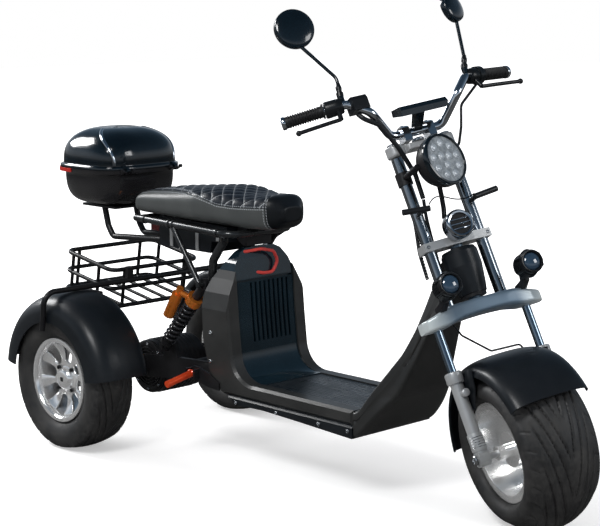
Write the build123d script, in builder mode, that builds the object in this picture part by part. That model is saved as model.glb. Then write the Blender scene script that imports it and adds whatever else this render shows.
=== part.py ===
"""Motorized trike: two rear wheels under one arch each, a low step-through body, and one steered front wheel.

Millimetres. +X is forward, +Y is the rider's left, +Z is up, and the tyres stand on Z = 0.
Side profiles are drawn on `side`, whose x is measured forward from the rear axle and y up from the ground.
What turns with the handlebar is drawn on `fork`: its origin is the front axle's middle, its z runs up the
steering axis, its y runs to the left along the axle, and it stands at the parked steering angle.
"""

import os
from math import asin, cos, degrees, radians, sin, sqrt

from build123d import *

os.makedirs("parts", exist_ok=True)

# ---------------------------------------------------------------- driving dimensions
wheelbase = 1385.0
rake_deg = 26.9
parked_steer_deg = -22.9
clearance = 0.3            # between pieces that seat on each other but turn or are bolted

front_tyre_r = 210.0
front_tyre_w = 196.0
front_crown_r = 120.0      # radius of the tread's arc across the tyre
front_tread_w = 168.0
front_rim_r = 123.5
front_rim_w = 151.0

rear_tyre_r = 199.0
rear_tyre_w = 138.0
rear_crown_r = 240.0
rear_tread_w = 118.0
rear_rim_r = 119.3
rear_rim_w = 110.0
rear_wheel_y = 316.0       # middle plane of each rear wheel

axle_r = 10.0
front_axle_r = 8.0

body_half_w = 146.0        # outside of the body at the footboard
side_panel_t = 40.0        # each side panel, inside face to outside face
deck_z = 236.0
sill_z = 198.0             # lower edge of the side panels
tray_z = 163.0             # underside of the tray

case_l = 300.0
case_w = 310.0
case_rim_z = 768.0
case_base_z = 655.0
case_lid_h = 118.0
case_wall = 3.0
case_x = -178.0            # middle of the case
band_t = 3.0               # coloured band round the back of the case, past its rim

fender_r = 246.0           # outside of the rear wheel arches, from the axle
fender_t = 3.5
fender_out = 86.0          # lip of the rear wheel arches, from the wheel's middle plane
fender_in = 84.0
guard_r = 8.0

fork_half = 72.0           # upper tubes
leg_half = 123.0           # lower legs
upper_tube_r = 15.0
stanchion_r = 11.0
slider_r = 16.0

# ---------------------------------------------------------------- frames
rake = radians(rake_deg)
steer = radians(parked_steer_deg)
camber = asin(sin(rake) * abs(sin(steer)))
front_axle_z = (front_tyre_r - front_crown_r) * cos(camber) + front_crown_r

case_tail = -(case_x - case_l / 2) + band_t
nose_lean = cos(rake) * sin(steer)
tyre_nose = (front_tyre_r - front_crown_r) * sqrt(1 - nose_lean ** 2) + front_crown_r
rear_axle_x = (case_tail - wheelbase - tyre_nose) / 2
front_axle_x = rear_axle_x + wheelbase

side = Plane(origin=(rear_axle_x, 0, 0), x_dir=(1, 0, 0), z_dir=(0, -1, 0))
ground = Plane(origin=(rear_axle_x, 0, 0), x_dir=(1, 0, 0), z_dir=(0, 0, 1))
across = Plane(origin=(rear_axle_x, 0, 0), x_dir=(0, 1, 0), z_dir=(1, 0, 0))
fork = Plane(
    origin=(front_axle_x, 0, front_axle_z),
    x_dir=(cos(rake) * cos(steer), sin(steer), sin(rake) * cos(steer)),
    z_dir=(-sin(rake), 0, cos(rake)),
)
fork_front = Plane(origin=fork.origin, x_dir=fork.y_dir, z_dir=fork.x_dir)   # x left, y up the fork
fork_side = Plane(origin=fork.origin, x_dir=fork.x_dir, z_dir=-fork.y_dir)    # x forward, y up the fork


def along(plane, x, y, z):
    """The point x, y, z of a plane's own frame, in the part's frame."""
    return plane.origin + plane.x_dir * x + plane.y_dir * y + plane.z_dir * z


def tube(points, bend, radius, plane):
    """A round tube through the points, with every corner bent to the radius `bend`."""
    with BuildLine(plane) as route:
        FilletPolyline(*points, radius=bend)
    with BuildSketch(Plane(origin=route.line @ 0, z_dir=route.line % 0)) as ring:
        Circle(radius)
    sweep(sections=ring.sketch, path=route.line)


def rod(start, end, radius, plane, mode=Mode.ADD):
    """A straight round bar between two points of the plane's frame."""
    a = along(plane, *start)
    b = along(plane, *end)
    with BuildSketch(Plane(origin=a, z_dir=b - a)) as ring:
        Circle(radius)
    extrude(to_extrude=ring.sketch, amount=(b - a).length, mode=mode)


def slab(outline, start, end, plane, mode=Mode.ADD):
    """A flat-sided block: the outline on the plane, from one distance off it to another."""
    with BuildSketch(plane.offset(start)) as face:
        Polygon(*outline, align=None)
    extrude(to_extrude=face.sketch, amount=end - start, mode=mode)


def both(outline, near, far, plane):
    """The same slab on each side of the plane."""
    slab(outline, near, far, plane)
    slab(outline, -near, -far, plane)


def save(name, solid):
    solid.label = name
    export_step(solid, f"parts/{name}.step")


# ---------------------------------------------------------------- tyres and rims
flange_t = 5.0
bead_drop = 14.0           # from the rim's edge down to where the tyre's bead sits


def tyre_profile(tyre_r, tyre_w, crown_r, tread_w, rim_r, rim_w):
    """Half section of a tyre in a frame whose x is the radius and y the distance along the axle."""
    bead = rim_w / 2 - flange_t - clearance
    seat = rim_r - bead_drop + clearance
    shoulder = tyre_r - crown_r + sqrt(crown_r ** 2 - (tread_w / 2) ** 2)
    bulge = rim_r + 0.42 * (shoulder - rim_r)
    with BuildLine(Plane.XY) as outline:
        Polyline((rim_r + 2, -bead), (seat, -bead), (seat, bead), (rim_r + 2, bead))
        ThreePointArc((rim_r + 2, bead), (bulge, tyre_w / 2), (shoulder, tread_w / 2))
        ThreePointArc((shoulder, tread_w / 2), (tyre_r, 0), (shoulder, -tread_w / 2))
        ThreePointArc((shoulder, -tread_w / 2), (bulge, -tyre_w / 2), (rim_r + 2, -bead))
    make_face(outline.edges())


def rim_profile(rim_r, rim_w, wall=4.0):
    """Barrel of a rim with a flange at each edge, in the same frame as the tyre's section."""
    edge = rim_w / 2
    barrel = rim_r - bead_drop
    Polygon(
        (rim_r, edge), (rim_r, edge - flange_t), (barrel, edge - flange_t), (barrel, -edge + flange_t),
        (rim_r, -edge + flange_t), (rim_r, -edge), (barrel - wall, -edge), (barrel - wall, edge),
        align=None,
    )


# name, outward sign along Y
sides = (("right", -1), ("left", 1))

# rear wheels: alloy rim with a windowed disc set back from its outer edge
disc_set_back = 28.0
disc_t = 10.0
window_count = 8
window_mid_r = 74.0
window_l = 42.0
window_w = 27.0
lug_pcd = 84.0
hub_r = 30.0
hub_cap_r = 21.0
hub_stick_out = 10.0       # hub cap past the disc's face
hub_in = 60.0              # hub's inner end, from the wheel's middle plane

for name, sign in sides:
    hub = Plane(
        origin=(rear_axle_x, sign * rear_wheel_y, rear_tyre_r), x_dir=(1, 0, 0), z_dir=(0, 0, sign)
    )
    axle = Axis(hub.origin, hub.y_dir)
    outward = Plane(origin=hub.origin, x_dir=(1, 0, 0), z_dir=hub.y_dir)
    with BuildPart() as rear_tyre:
        with BuildSketch(hub):
            tyre_profile(rear_tyre_r, rear_tyre_w, rear_crown_r, rear_tread_w, rear_rim_r, rear_rim_w)
        revolve(axis=axle)
    save(f"rear_tyre_{name}", rear_tyre.part)

    disc_face = rear_rim_w / 2 - disc_set_back
    with BuildPart() as rear_rim:
        with BuildSketch(hub):
            rim_profile(rear_rim_r, rear_rim_w)
        revolve(axis=axle)
        with BuildSketch(outward.offset(disc_face - disc_t)):
            Circle(rear_rim_r - bead_drop - 2)
            Circle(axle_r + clearance, mode=Mode.SUBTRACT)
            with PolarLocations(window_mid_r, window_count):
                SlotOverall(window_l, window_w, mode=Mode.SUBTRACT)
        extrude(amount=disc_t)
        with BuildSketch(outward.offset(-hub_in)):
            Circle(hub_r)
            Circle(axle_r + clearance, mode=Mode.SUBTRACT)
        extrude(amount=hub_in + disc_face - disc_t)
        with BuildSketch(outward.offset(disc_face)):
            Circle(hub_r)
        extrude(amount=hub_stick_out)
        with BuildSketch(outward.offset(disc_face)):
            with PolarLocations(lug_pcd / 2, 4, start_angle=45):
                Circle(7.5)
        extrude(amount=9)
    save(f"rear_rim_{name}", rear_rim.part)

# rear axle: one beam from wheel to wheel, with the motor and its gear case as a plain block in the middle
axle_tube_r = 27.0
motor_r = 78.0
motor_w = 150.0
motor_x = 42.0
axle_end = rear_wheel_y + rear_rim_w / 2 - disc_set_back - disc_t - 2
axle_tube_half = rear_wheel_y - hub_in - 6
brake_drum_r = 62.0
brake_drum_w = 18.0
with BuildPart() as rear_axle:
    rod((0, -axle_end, rear_tyre_r), (0, axle_end, rear_tyre_r), axle_r, ground)
    rod((0, -axle_tube_half, rear_tyre_r), (0, axle_tube_half, rear_tyre_r), axle_tube_r, ground)
    rod((motor_x, -motor_w / 2, rear_tyre_r), (motor_x, motor_w / 2, rear_tyre_r), motor_r, ground)
    for name, sign in sides:
        inner = sign * (axle_tube_half - brake_drum_w)
        rod((0, inner, rear_tyre_r), (0, sign * axle_tube_half, rear_tyre_r), brake_drum_r, ground)
save("rear_axle", rear_axle.part)

# ---------------------------------------------------------------- swing arm and shocks
pivot_x, pivot_z = 360.0, 235.0
pivot_r = 16.0
arm_in, arm_out = 78.0, 92.0
shock_y = 112.0
shock_eye_w = 16.0
shock_low = (158.0, 282.0)
shock_top = (338.0, 482.0)
shock_pin_r = 8.0

arm_outline = (
    (-38, rear_tyre_r - 31), (-38, rear_tyre_r + 31), (60, 240), (128, 246), (143, 296), (173, 296), (190, 250), (345, 259), (384, 249),
    (384, 221), (345, 211), (60, 172),
)
with BuildPart() as swing_arm:
    both(arm_outline, arm_in, arm_out, side)
    rod((0, -arm_out - 1, rear_tyre_r), (0, arm_out + 1, rear_tyre_r), axle_tube_r + clearance, ground, Mode.SUBTRACT)
    rod((pivot_x, -arm_in - 5, pivot_z), (pivot_x, arm_in + 5, pivot_z), pivot_r, ground)
    rod((245, -arm_in - 5, 232), (245, arm_in + 5, 232), 18, ground)
    for name, sign in sides:
        start = (shock_low[0], sign * (arm_out - 5), shock_low[1])
        end = (shock_low[0], sign * (shock_y + shock_eye_w / 2 + 6), shock_low[1])
        rod(start, end, shock_pin_r, ground)
    chamfer(swing_arm.edges().filter_by(Axis.Y).filter_by(GeomType.LINE), 2)
save("swing_arm", swing_arm.part)

run = sqrt((shock_top[0] - shock_low[0]) ** 2 + (shock_top[1] - shock_low[1]) ** 2)
shock_dir = ((shock_top[0] - shock_low[0]) / run, (shock_top[1] - shock_low[1]) / run)


def on_shock(distance, y, aside=0.0):
    """Point at a distance up the shock from its lower eye, and moved aside towards the rear."""
    x = shock_low[0] + shock_dir[0] * distance - shock_dir[1] * aside
    z = shock_low[1] + shock_dir[1] * distance + shock_dir[0] * aside
    return (x, y, z)


spring_from, spring_to = 26.0, 190.0
collar_to = 214.0
damper_r = 13.0
with BuildPart() as shocks:
    for name, sign in sides:
        y = sign * shock_y
        for end in (shock_low, shock_top):
            rod((end[0], y - shock_eye_w / 2, end[1]), (end[0], y + shock_eye_w / 2, end[1]), 16, ground)
        rod(on_shock(8, y), on_shock(run - 8, y), damper_r, ground)
        for at in (14, spring_from - 6):
            rod(on_shock(at, y), on_shock(at + 5, y), 19, ground)
        for end in (shock_low, shock_top):
            start = (end[0], y - shock_eye_w, end[1])
            finish = (end[0], y + shock_eye_w, end[1])
            rod(start, finish, shock_pin_r + clearance, ground, Mode.SUBTRACT)
save("shocks", shocks.part)

with BuildPart() as shock_springs:
    for name, sign in sides:
        y = sign * shock_y
        rod(on_shock(spring_from, y), on_shock(spring_to, y), 22, ground)
        rod(on_shock(spring_from - 5, y), on_shock(spring_to + 5, y), damper_r + clearance, ground, Mode.SUBTRACT)
save("shock_springs", shock_springs.part)

with BuildPart() as shock_reservoirs:
    for name, sign in sides:
        y = sign * shock_y
        rod(on_shock(spring_to + clearance, y), on_shock(collar_to, y), 24, ground)
        rod(on_shock(spring_to + 12, y), on_shock(spring_to + 6, sign * 135, 36), 9, ground)
        rod(on_shock(106, sign * 135, 30), on_shock(186, sign * 135, 43), 16, ground)
        rod(on_shock(186, sign * 135, 43), on_shock(206, sign * 135, 46), 10, ground)
        rod(on_shock(spring_to - 5, y), on_shock(collar_to + 5, y), damper_r + clearance, ground, Mode.SUBTRACT)
save("shock_reservoirs", shock_reservoirs.part)

# ---------------------------------------------------------------- body shell
column_back = ((425, 588), (408, 552), (375, 503), (357, 430), (361, 335), (386, 254), (414, 212), (440, sill_z))
column_front = ((490, deck_z), (472, 400), (464, 505), (454, 560), (446, 588))
foot_curve_r = 80.0
neck_start_x = wheelbase - 445
neck_top_z = 552.0
shell_bevel = 7.0
inner_half_w = body_half_w - side_panel_t
core_half_w = inner_half_w - clearance

# half width, height: the column seen from the front
column_arch = (
    (body_half_w, 150), (body_half_w, 425), (136, 470), (116, 508), (97, 550), (74, 578), (52, 588), (30, 592),
)
# half width, height: the neck seen from the front
neck_taper = (
    (body_half_w, 150), (body_half_w, 178), (112, 245), (97, 282), (81, 366), (63, 458), (50, 500),
    (36, neck_top_z),
)


def front_view(half, depth_from, depth_to):
    """Solid whose outline, seen from the front, is the half outline and its mirror image."""
    outline = [*half, *[(-y, z) for y, z in reversed(half)]]
    with BuildPart() as block:
        slab(outline, depth_from, depth_to, across)
    return block.part


column_block = front_view(column_arch, 300, neck_start_x)
neck_block = front_view(neck_taper, neck_start_x, wheelbase)

with BuildPart() as body_sides:
    for name, sign in sides:
        start = inner_half_w if sign < 0 else -body_half_w
        with BuildPart(mode=Mode.PRIVATE) as body_side:
            with BuildSketch(side.offset(start)):
                with BuildLine():
                    Polyline(*column_back, (neck_start_x, sill_z), (neck_start_x, deck_z))
                    FilletPolyline((neck_start_x, deck_z), *column_front, radius=[foot_curve_r, 200, 60, 20])
                    Line(column_front[-1], column_back[0])
                make_face()
            extrude(amount=side_panel_t)
            outer_face = body_side.faces().sort_by(Axis.Y)[0 if sign < 0 else -1]
            chamfer(outer_face.edges(), shell_bevel)
            add(column_block, mode=Mode.INTERSECT)
        add(body_side.part)
save("body_sides", body_sides.part)

# between the side panels: the louvred housing of the battery, then the deck the feet stand on
panel_set_back = 5.0
housing_front_x = 572.0
lug_in, lug_out = 40.0, 54.0
pivot_lug = ((336, 215), (336, 255), (350, 262), (388, 290), (420, 262), (420, 214), (380, 206), (350, 208))
shock_lug = ((324, 470), (324, 494), (338, 498), (392, 512), (392, 468), (352, 466))
louvre_count = 9
louvre_pitch = 16.5
louvre_w = 7.5
louvre_y = 16.0
louvre_cut = ((448, 494), (463, 332), (540, 332), (540, 494))
with BuildPart() as battery_housing:
    with BuildSketch(side.offset(-core_half_w)):
        with BuildLine():
            Polyline(*column_back, (housing_front_x, sill_z), (housing_front_x, deck_z))
            FilletPolyline(
                (housing_front_x, deck_z), *[(x - panel_set_back, z) for x, z in column_front],
                radius=[foot_curve_r, 200, 60, 20],
            )
            Line((column_front[-1][0] - panel_set_back, column_front[-1][1]), column_back[0])
        make_face()
    extrude(amount=2 * core_half_w)
    add(column_block, mode=Mode.INTERSECT)
    for slot in range(louvre_count):
        y = louvre_y + louvre_pitch * (slot - (louvre_count - 1) / 2)
        slab(louvre_cut, -y - louvre_w / 2, -y + louvre_w / 2, side, Mode.SUBTRACT)
    slab(((452, 499), (452, 503), (500, 503), (500, 499)), -core_half_w, core_half_w, side, Mode.SUBTRACT)
    both(pivot_lug, lug_in, lug_out, side)
    both(shock_lug, lug_in, lug_out, side)
    rod((pivot_x, -80, pivot_z), (pivot_x, 80, pivot_z), pivot_r + clearance, ground, Mode.SUBTRACT)
    rod((shock_top[0], -80, shock_top[1]), (shock_top[0], 80, shock_top[1]), shock_pin_r + clearance, ground,
        Mode.SUBTRACT)
save("battery_housing", battery_housing.part)

# charging cable: a loop out of one socket of the housing and into the other
with BuildPart() as red_cable:
    points = (
        (438, -64, 577), (464, -14, 584), (464, 30, 574), (464, 46, 546), (464, 28, 516), (464, -4, 516), (446, -36, 521),
    )
    tube(points, 18, 4.5, ground)
    add(battery_housing.part, mode=Mode.SUBTRACT)
save("red_cable", red_cable.part)

with BuildPart() as footboard:
    start = housing_front_x + clearance
    slab(((start, sill_z), (start, deck_z - 3), (neck_start_x, deck_z - 3), (neck_start_x, sill_z)),
         -core_half_w, core_half_w, side)
save("footboard", footboard.part)

# the neck, drawn with x measured from the front axle
nose = Plane(origin=(front_axle_x, 0, 0), x_dir=(1, 0, 0), z_dir=(0, -1, 0))
neck_back = neck_start_x - wheelbase
with BuildPart() as front_neck:
    with BuildSketch(nose.offset(-body_half_w)):
        with BuildLine():
            FilletPolyline(
                (neck_back, deck_z), (-427, 240), (-378, 316), (-330, 391), (-305, 454), (-291, 510), (-281, neck_top_z),
                radius=[30, 200, 200, 100, 100],
            )
            Polyline((-281, neck_top_z), (-219, neck_top_z), (-219, 540))
            FilletPolyline(
                (-219, 540), (-259, 462), (-295, 368), (-329, 285), (-420, 180), (neck_back, 163),
                radius=[100, 200, 150, 60],
            )
            Line((neck_back, 163), (neck_back, deck_z))
        make_face()
    extrude(amount=2 * body_half_w)
    add(neck_block, mode=Mode.INTERSECT)
save("front_neck", front_neck.part)

tray_outline = (
    (440, sill_z), (462, 196), (501, 175), (609, 178), (755, 172), (neck_start_x, tray_z), (neck_start_x, sill_z),
)
with BuildPart() as lower_tray:
    slab(tray_outline, -body_half_w, body_half_w, side)
    chamfer(lower_tray.edges().group_by(Axis.Z)[-1].filter_by(Axis.X), shell_bevel)
save("lower_tray", lower_tray.part)

# head tube: a steel tube on the steering axis, with the gusset that stands on top of the neck
head_from, head_to = 375.0, 500.0
head_r = 32.0
stem_r = 16.0
gusset = ((-279, neck_top_z), (-257, 610), (-235, 640), (-200, 610), (-165, 560), (-220, neck_top_z))
with BuildPart() as head_tube:
    slab(gusset, -34, 34, nose)
    rod((0, 0, head_from), (0, 0, head_to), head_r, fork)
    rod((0, 0, head_from - 5), (0, 0, head_to + 5), stem_r + clearance, fork, Mode.SUBTRACT)
save("head_tube", head_tube.part)

# black cover round the upper bearing, with a cable looped from it down to the neck
shroud_r = 46.0
with BuildPart() as head_shroud:
    with BuildSketch(fork_side):
        Polygon((0, 384), (35, 384), (39, 404), (shroud_r, 452), (shroud_r, 488), (41, 498), (0, 498), align=None)
    revolve(axis=Axis(fork.origin, fork.z_dir))
    tube(((-8, 36, 474), (-8, 46, 444), (-8, 31, 392)), 60, 4, fork)
    rod((0, 0, head_from - 5), (0, 0, head_to + 5), head_r + clearance, fork, Mode.SUBTRACT)
    add(head_tube.part, mode=Mode.SUBTRACT)
save("head_shroud", head_shroud.part)

# ---------------------------------------------------------------- seat, its frame and the boxes under it
rail_r = 10.0
rail_half = 117.0
rail_back_x, rail_front_x = 45.0, 455.0
pan_back_z, pan_front_z = 652.0, 640.0     # underside of the seat at x = 32 and at x = 450


def pan_z(x):
    """Height of the seat's underside at x."""
    return pan_back_z + (pan_front_z - pan_back_z) * (x - 32) / 418


def rail_z(x):
    """Height of the rails' centre line at x."""
    return pan_z(x) - rail_r - clearance


seat_profile = ((34, pan_z(34)), (450, pan_z(450)), (560, 648), (592, 672), (590, 712), (560, 744), (506, 736),
                (440, 734), (380, 745), (290, 745), (70, 722), (38, 712))
with BuildPart() as seat:
    with BuildSketch(side.offset(-130)):
        with BuildLine():
            FilletPolyline(*seat_profile, radius=[2, 100, 26, 24, 30, 60, 60, 60, 150, 20, 14, 14], close=True)
        make_face()
    extrude(amount=260)
    with BuildPart(mode=Mode.PRIVATE) as seat_plan:
        with BuildSketch(ground.offset(600)):
            with BuildLine():
                FilletPolyline(
                    (32, -125), (300, -124), (430, -104), (545, -82), (593, -40),
                    (593, 40), (545, 82), (430, 104), (300, 124), (32, 125),
                    radius=[60, 300, 300, 90, 62, 62, 90, 300, 300, 60], close=True,
                )
            make_face()
        extrude(amount=200)
    add(seat_plan.part, mode=Mode.INTERSECT)
save("seat", seat.part)

strut_y = 129.5
bar_half = 139.0
with BuildPart() as seat_frame:
    rails = (
        (rail_back_x, -rail_half, rail_z(rail_back_x)), (rail_front_x, -rail_half, rail_z(rail_front_x)),
        (rail_front_x, rail_half, rail_z(rail_front_x)), (rail_back_x, rail_half, rail_z(rail_back_x)),
    )
    tube(rails, 45, rail_r, ground)
    rod((60, -rail_half, rail_z(60)), (60, rail_half, rail_z(60)), rail_r - 1, ground)
    for name, sign in sides:
        legs = (
            (425, sign * rail_half, rail_z(425)), (398, sign * 92, 606), (352, sign * 92, 548),
            (shock_top[0], sign * 84, shock_top[1]),
        )
        tube(legs, 24, 12, ground)
        rod((205, sign * rail_half, rail_z(205)), (shock_top[0], sign * strut_y, shock_top[1]), 8, ground)
    rod((shock_top[0], -bar_half, shock_top[1]), (shock_top[0], bar_half, shock_top[1]), shock_pin_r, ground)
save("seat_frame", seat_frame.part)

post_x0, post_x1 = 400.0, 466.0
with BuildPart() as seat_post:
    foot = 592.0
    outline = ((post_x0, 604), (post_x0, pan_z(post_x0) - clearance), (440, pan_z(440) - clearance), (440, foot), (424, foot))
    slab(outline, -45, 45, side)
save("seat_post", seat_post.part)

box_x0, box_x1 = 100.0, 392.0
with BuildPart() as under_seat_box:
    outline = ((box_x0, 563), (box_x0, pan_z(box_x0) - clearance), (box_x1, pan_z(box_x1) - clearance),
               (box_x1, 600), (328, 596), (322, 563))
    slab(outline, -76, 76, side)
save("under_seat_box", under_seat_box.part)

with BuildPart() as tail_lamp:
    slab(((42, 600), (42, 624), (50, 630), (box_x0 - clearance, 630), (box_x0 - clearance, 600)), -60, 60, side)
save("tail_lamp", tail_lamp.part)

# ---------------------------------------------------------------- top case on its carrier
carrier_y = 58.0
carrier_r = 9.0
plate_t = 7.0
with BuildPart() as case_carrier:
    for name, sign in sides:
        y = sign * carrier_y
        tube(((box_x0 - 1, y, 577), (-140, y, 562), (-162, y, 592), (case_x, y, case_base_z - plate_t)), 22, carrier_r, ground)
    slab(
        ((case_x - 80, case_base_z - plate_t), (case_x - 80, case_base_z - clearance),
         (case_x + 80, case_base_z - clearance), (case_x + 80, case_base_z - plate_t)),
        -80, 80, side,
    )
save("case_carrier", case_carrier.part)

# height, how much smaller than the rim in length and in width, corner radius as a share of the width
base_sections = (
    (case_base_z, 130, 0.30), (case_base_z + 20, 80, 0.31), (case_base_z + 45, 44, 0.32),
    (case_rim_z - 15, 24, 0.32), (case_rim_z - 13, 0, 0.32), (case_rim_z, 0, 0.32),
)
lid_h = case_lid_h
lid_sections = (
    (case_rim_z + clearance, 0, 0.32), (case_rim_z + 0.07 * lid_h, 6, 0.32), (case_rim_z + 0.12 * lid_h, 16, 0.32),
    (case_rim_z + 0.45 * lid_h, 26, 0.32), (case_rim_z + 0.68 * lid_h, 42, 0.32), (case_rim_z + 0.84 * lid_h, 68, 0.32),
    (case_rim_z + 0.95 * lid_h, 104, 0.32), (case_rim_z + lid_h, 150, 0.32),
)


def shell_of(sections, less):
    """Solid through rounded rectangles, each smaller by `less` all round."""
    with BuildPart() as block:
        for z, smaller, corner in sections:
            length = case_l - smaller
            width = case_w - smaller
            with BuildSketch(ground.offset(z)):
                with Locations((case_x, 0)):
                    RectangleRounded(length - 2 * less, width - 2 * less, corner * width - less)
        loft(ruled=True)
    return block.part


hinge_x = case_x + case_l / 2 + 5
hinge_r = 5.0
hinge_y = case_w * 0.287
with BuildPart() as case_base:
    add(shell_of(base_sections, 0))
    hollow = ((case_base_z + case_wall, 130, 0.30), *base_sections[1:-1], (case_rim_z + 1, 0, 0.32))
    add(shell_of(hollow, case_wall), mode=Mode.SUBTRACT)
    for y in (-hinge_y - 15, hinge_y - 15):
        rod((hinge_x, y, case_rim_z), (hinge_x, y + 30, case_rim_z), hinge_r, ground)
        slab(((hinge_x - 10, case_rim_z - 14), (hinge_x - 10, case_rim_z - 3), (hinge_x + 4, case_rim_z - 3)), -y - 30, -y, side)
    for y in (-hinge_y, hinge_y):
        rod((hinge_x, y - 7, case_rim_z), (hinge_x, y + 7, case_rim_z), hinge_r + 2, ground, Mode.SUBTRACT)
save("case_base", case_base.part)

with BuildPart() as case_lid:
    add(shell_of(lid_sections, 0))
    inner = ((case_rim_z - 1, 0, 0.32), *lid_sections[1:-1], (case_rim_z + lid_h - case_wall, 150, 0.32))
    add(shell_of(inner, case_wall), mode=Mode.SUBTRACT)
    for y in (-hinge_y, hinge_y):
        rod((hinge_x, y - 6, case_rim_z), (hinge_x, y + 6, case_rim_z), hinge_r, ground)
        slab(((hinge_x - 10, case_rim_z + 3), (hinge_x - 10, case_rim_z + 14), (hinge_x + 4, case_rim_z + 3)), -y - 6, -y + 6, side)
save("case_lid", case_lid.part)

with BuildPart() as case_band:
    rim_corner = 0.32 * case_w
    with BuildSketch(ground.offset(case_rim_z - 12)):
        with Locations((case_x, 0)):
            RectangleRounded(case_l + 2 * band_t, case_w + 2 * band_t, rim_corner + band_t)
            RectangleRounded(case_l + 2 * clearance, case_w + 2 * clearance, rim_corner + clearance, mode=Mode.SUBTRACT)
        with Locations((case_x - case_l / 10, 0)):
            Rectangle(2 * case_l, 2 * case_w, align=(Align.MIN, Align.CENTER), mode=Mode.SUBTRACT)
    extrude(amount=11)
save("case_band", case_band.part)

# ---------------------------------------------------------------- rear arches, guard bar and basket
arch_from, arch_to = 8.0, 172.0
guard_z = rear_tyre_r + fender_r + guard_r + clearance
guard_leg_y = rear_wheel_y + fender_out + guard_r + clearance
stay_t = 5.0
for name, sign in sides:
    first = radians(arch_from)
    start_plane = Plane(
        origin=(rear_axle_x, sign * rear_wheel_y, rear_tyre_r), x_dir=(cos(first), 0, sin(first)),
        z_dir=(-sign * sin(first), 0, sign * cos(first)),
    )
    with BuildPart() as rear_fender:
        with BuildSketch(start_plane):
            with BuildLine():
                FilletPolyline(
                    (222, -fender_in), (fender_r, -fender_in + 2), (fender_r, fender_out - 14),
                    (214, fender_out), (165, fender_out), radius=[14, 24, 20],
                )
                offset(amount=fender_t, side=Side.LEFT)
            make_face()
        revolve(axis=Axis(start_plane.origin, (0, -1, 0)), revolution_arc=arch_to - arch_from)
    save(f"rear_fender_{name}", rear_fender.part)

with BuildPart() as fender_stays:
    inner = rear_wheel_y - fender_in - clearance - stay_t
    for name, sign in sides:
        start = inner if sign < 0 else -inner - stay_t
        outline = ((-36, 165), (-44, 205), (-26, 438), (26, 438), (44, 205), (36, 165))
        slab(outline, start, start + stay_t, side)
    rod((0, -300, rear_tyre_r), (0, 300, rear_tyre_r), axle_tube_r + clearance, ground, Mode.SUBTRACT)
save("fender_stays", fender_stays.part)

with BuildPart() as guard_bar:
    points = (
        (-14, -guard_leg_y, 345), (0, -guard_leg_y, guard_z), (0, guard_leg_y, guard_z), (-14, guard_leg_y, 345),
    )
    tube(points, 36, guard_r, ground)
    for y in (-110, 110):
        slab(((-7, guard_z + 4), (-7, guard_z + 40), (6, guard_z + 36), (6, guard_z + 4)), y - 10, y + 10, side)
save("guard_bar", guard_bar.part)

basket_half = 163.0
basket_wire_r = 5.5
basket_pitch = radians(9.5)
basket_l = 222.0
basket_h = 114.0
basket_x0 = -232.0
basket_frame = Plane(
    origin=(rear_axle_x + basket_x0, 0, guard_z + guard_r + basket_wire_r + clearance + 54.5),
    x_dir=(cos(basket_pitch), 0, -sin(basket_pitch)), z_dir=(sin(basket_pitch), 0, cos(basket_pitch)),
)
with BuildPart() as basket:
    corners = ((0, -basket_half), (0, basket_half), (basket_l, basket_half), (basket_l, -basket_half))
    for depth in (0, -basket_h / 2, -basket_h):
        with BuildLine(basket_frame) as loop:
            FilletPolyline(*[(x, y, depth) for x, y in corners], radius=28, close=True)
        with BuildSketch(Plane(origin=loop.line @ 0, z_dir=loop.line % 0)) as ring:
            Circle(basket_wire_r)
        sweep(sections=ring.sketch, path=loop.line)
    for x in (0, basket_l):
        for y in (-115, 115):
            rod((x, y, 0), (x, y, -basket_h), basket_wire_r - 1, basket_frame)
    for x in (36, basket_l - 62):
        for y in (-basket_half, basket_half):
            rod((x, y, 0), (x, y, -basket_h), basket_wire_r - 1, basket_frame)
    for y in (-110, -55, 0, 55, 110):
        rod((0, y, -basket_h), (basket_l, y, -basket_h), basket_wire_r - 1, basket_frame)
save("basket", basket.part)

# ---------------------------------------------------------------- fold-up pegs
peg_x, peg_y, peg_z = 338.0, body_half_w + 16, 240.0
peg_pin_r = 4.0
peg_arm = ((322, 220), (322, 250), (330, 258), (350, 258), (400, 244), (436, 226), (436, 204), (400, 206), (352, 214))
with BuildPart() as peg_brackets:
    both(peg_arm, body_half_w + clearance, body_half_w + 5, side)
    for name, sign in sides:
        for x in (318, 350):
            start = -sign * (body_half_w + clearance)
            slab(((x, 228), (x, 252), (x + 6, 252), (x + 6, 228)), start, -sign * (peg_y + 8), side)
        rod((318, sign * peg_y, peg_z), (356, sign * peg_y, peg_z), peg_pin_r, ground)
save("peg_brackets", peg_brackets.part)
for name, sign in sides:
    with BuildPart() as peg:
        rod((326, sign * peg_y, peg_z), (348, sign * peg_y, peg_z), 9, ground)
        rod((337, sign * peg_y, peg_z), (337, sign * (peg_y + 90), peg_z - 18), 9.5, ground)
        rod((318, sign * peg_y, peg_z), (356, sign * peg_y, peg_z), peg_pin_r + clearance, ground, Mode.SUBTRACT)
    save(f"peg_{name}", peg.part)

# ================================================================ everything below turns with the handlebar
# ---------------------------------------------------------------- front wheel
web_from, web_to = 15.0, 25.0
front_hub_r = 17.0
disc_plate_r = 80.0
disc_plate_y = 78.0
caliper_in, caliper_out = 63.0, 103.0
spin = Axis(fork.origin, fork.y_dir)
with BuildPart() as front_tyre:
    with BuildSketch(fork):
        tyre_profile(front_tyre_r, front_tyre_w, front_crown_r, front_tread_w, front_rim_r, front_rim_w)
    revolve(axis=spin)
save("front_tyre", front_tyre.part)

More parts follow.
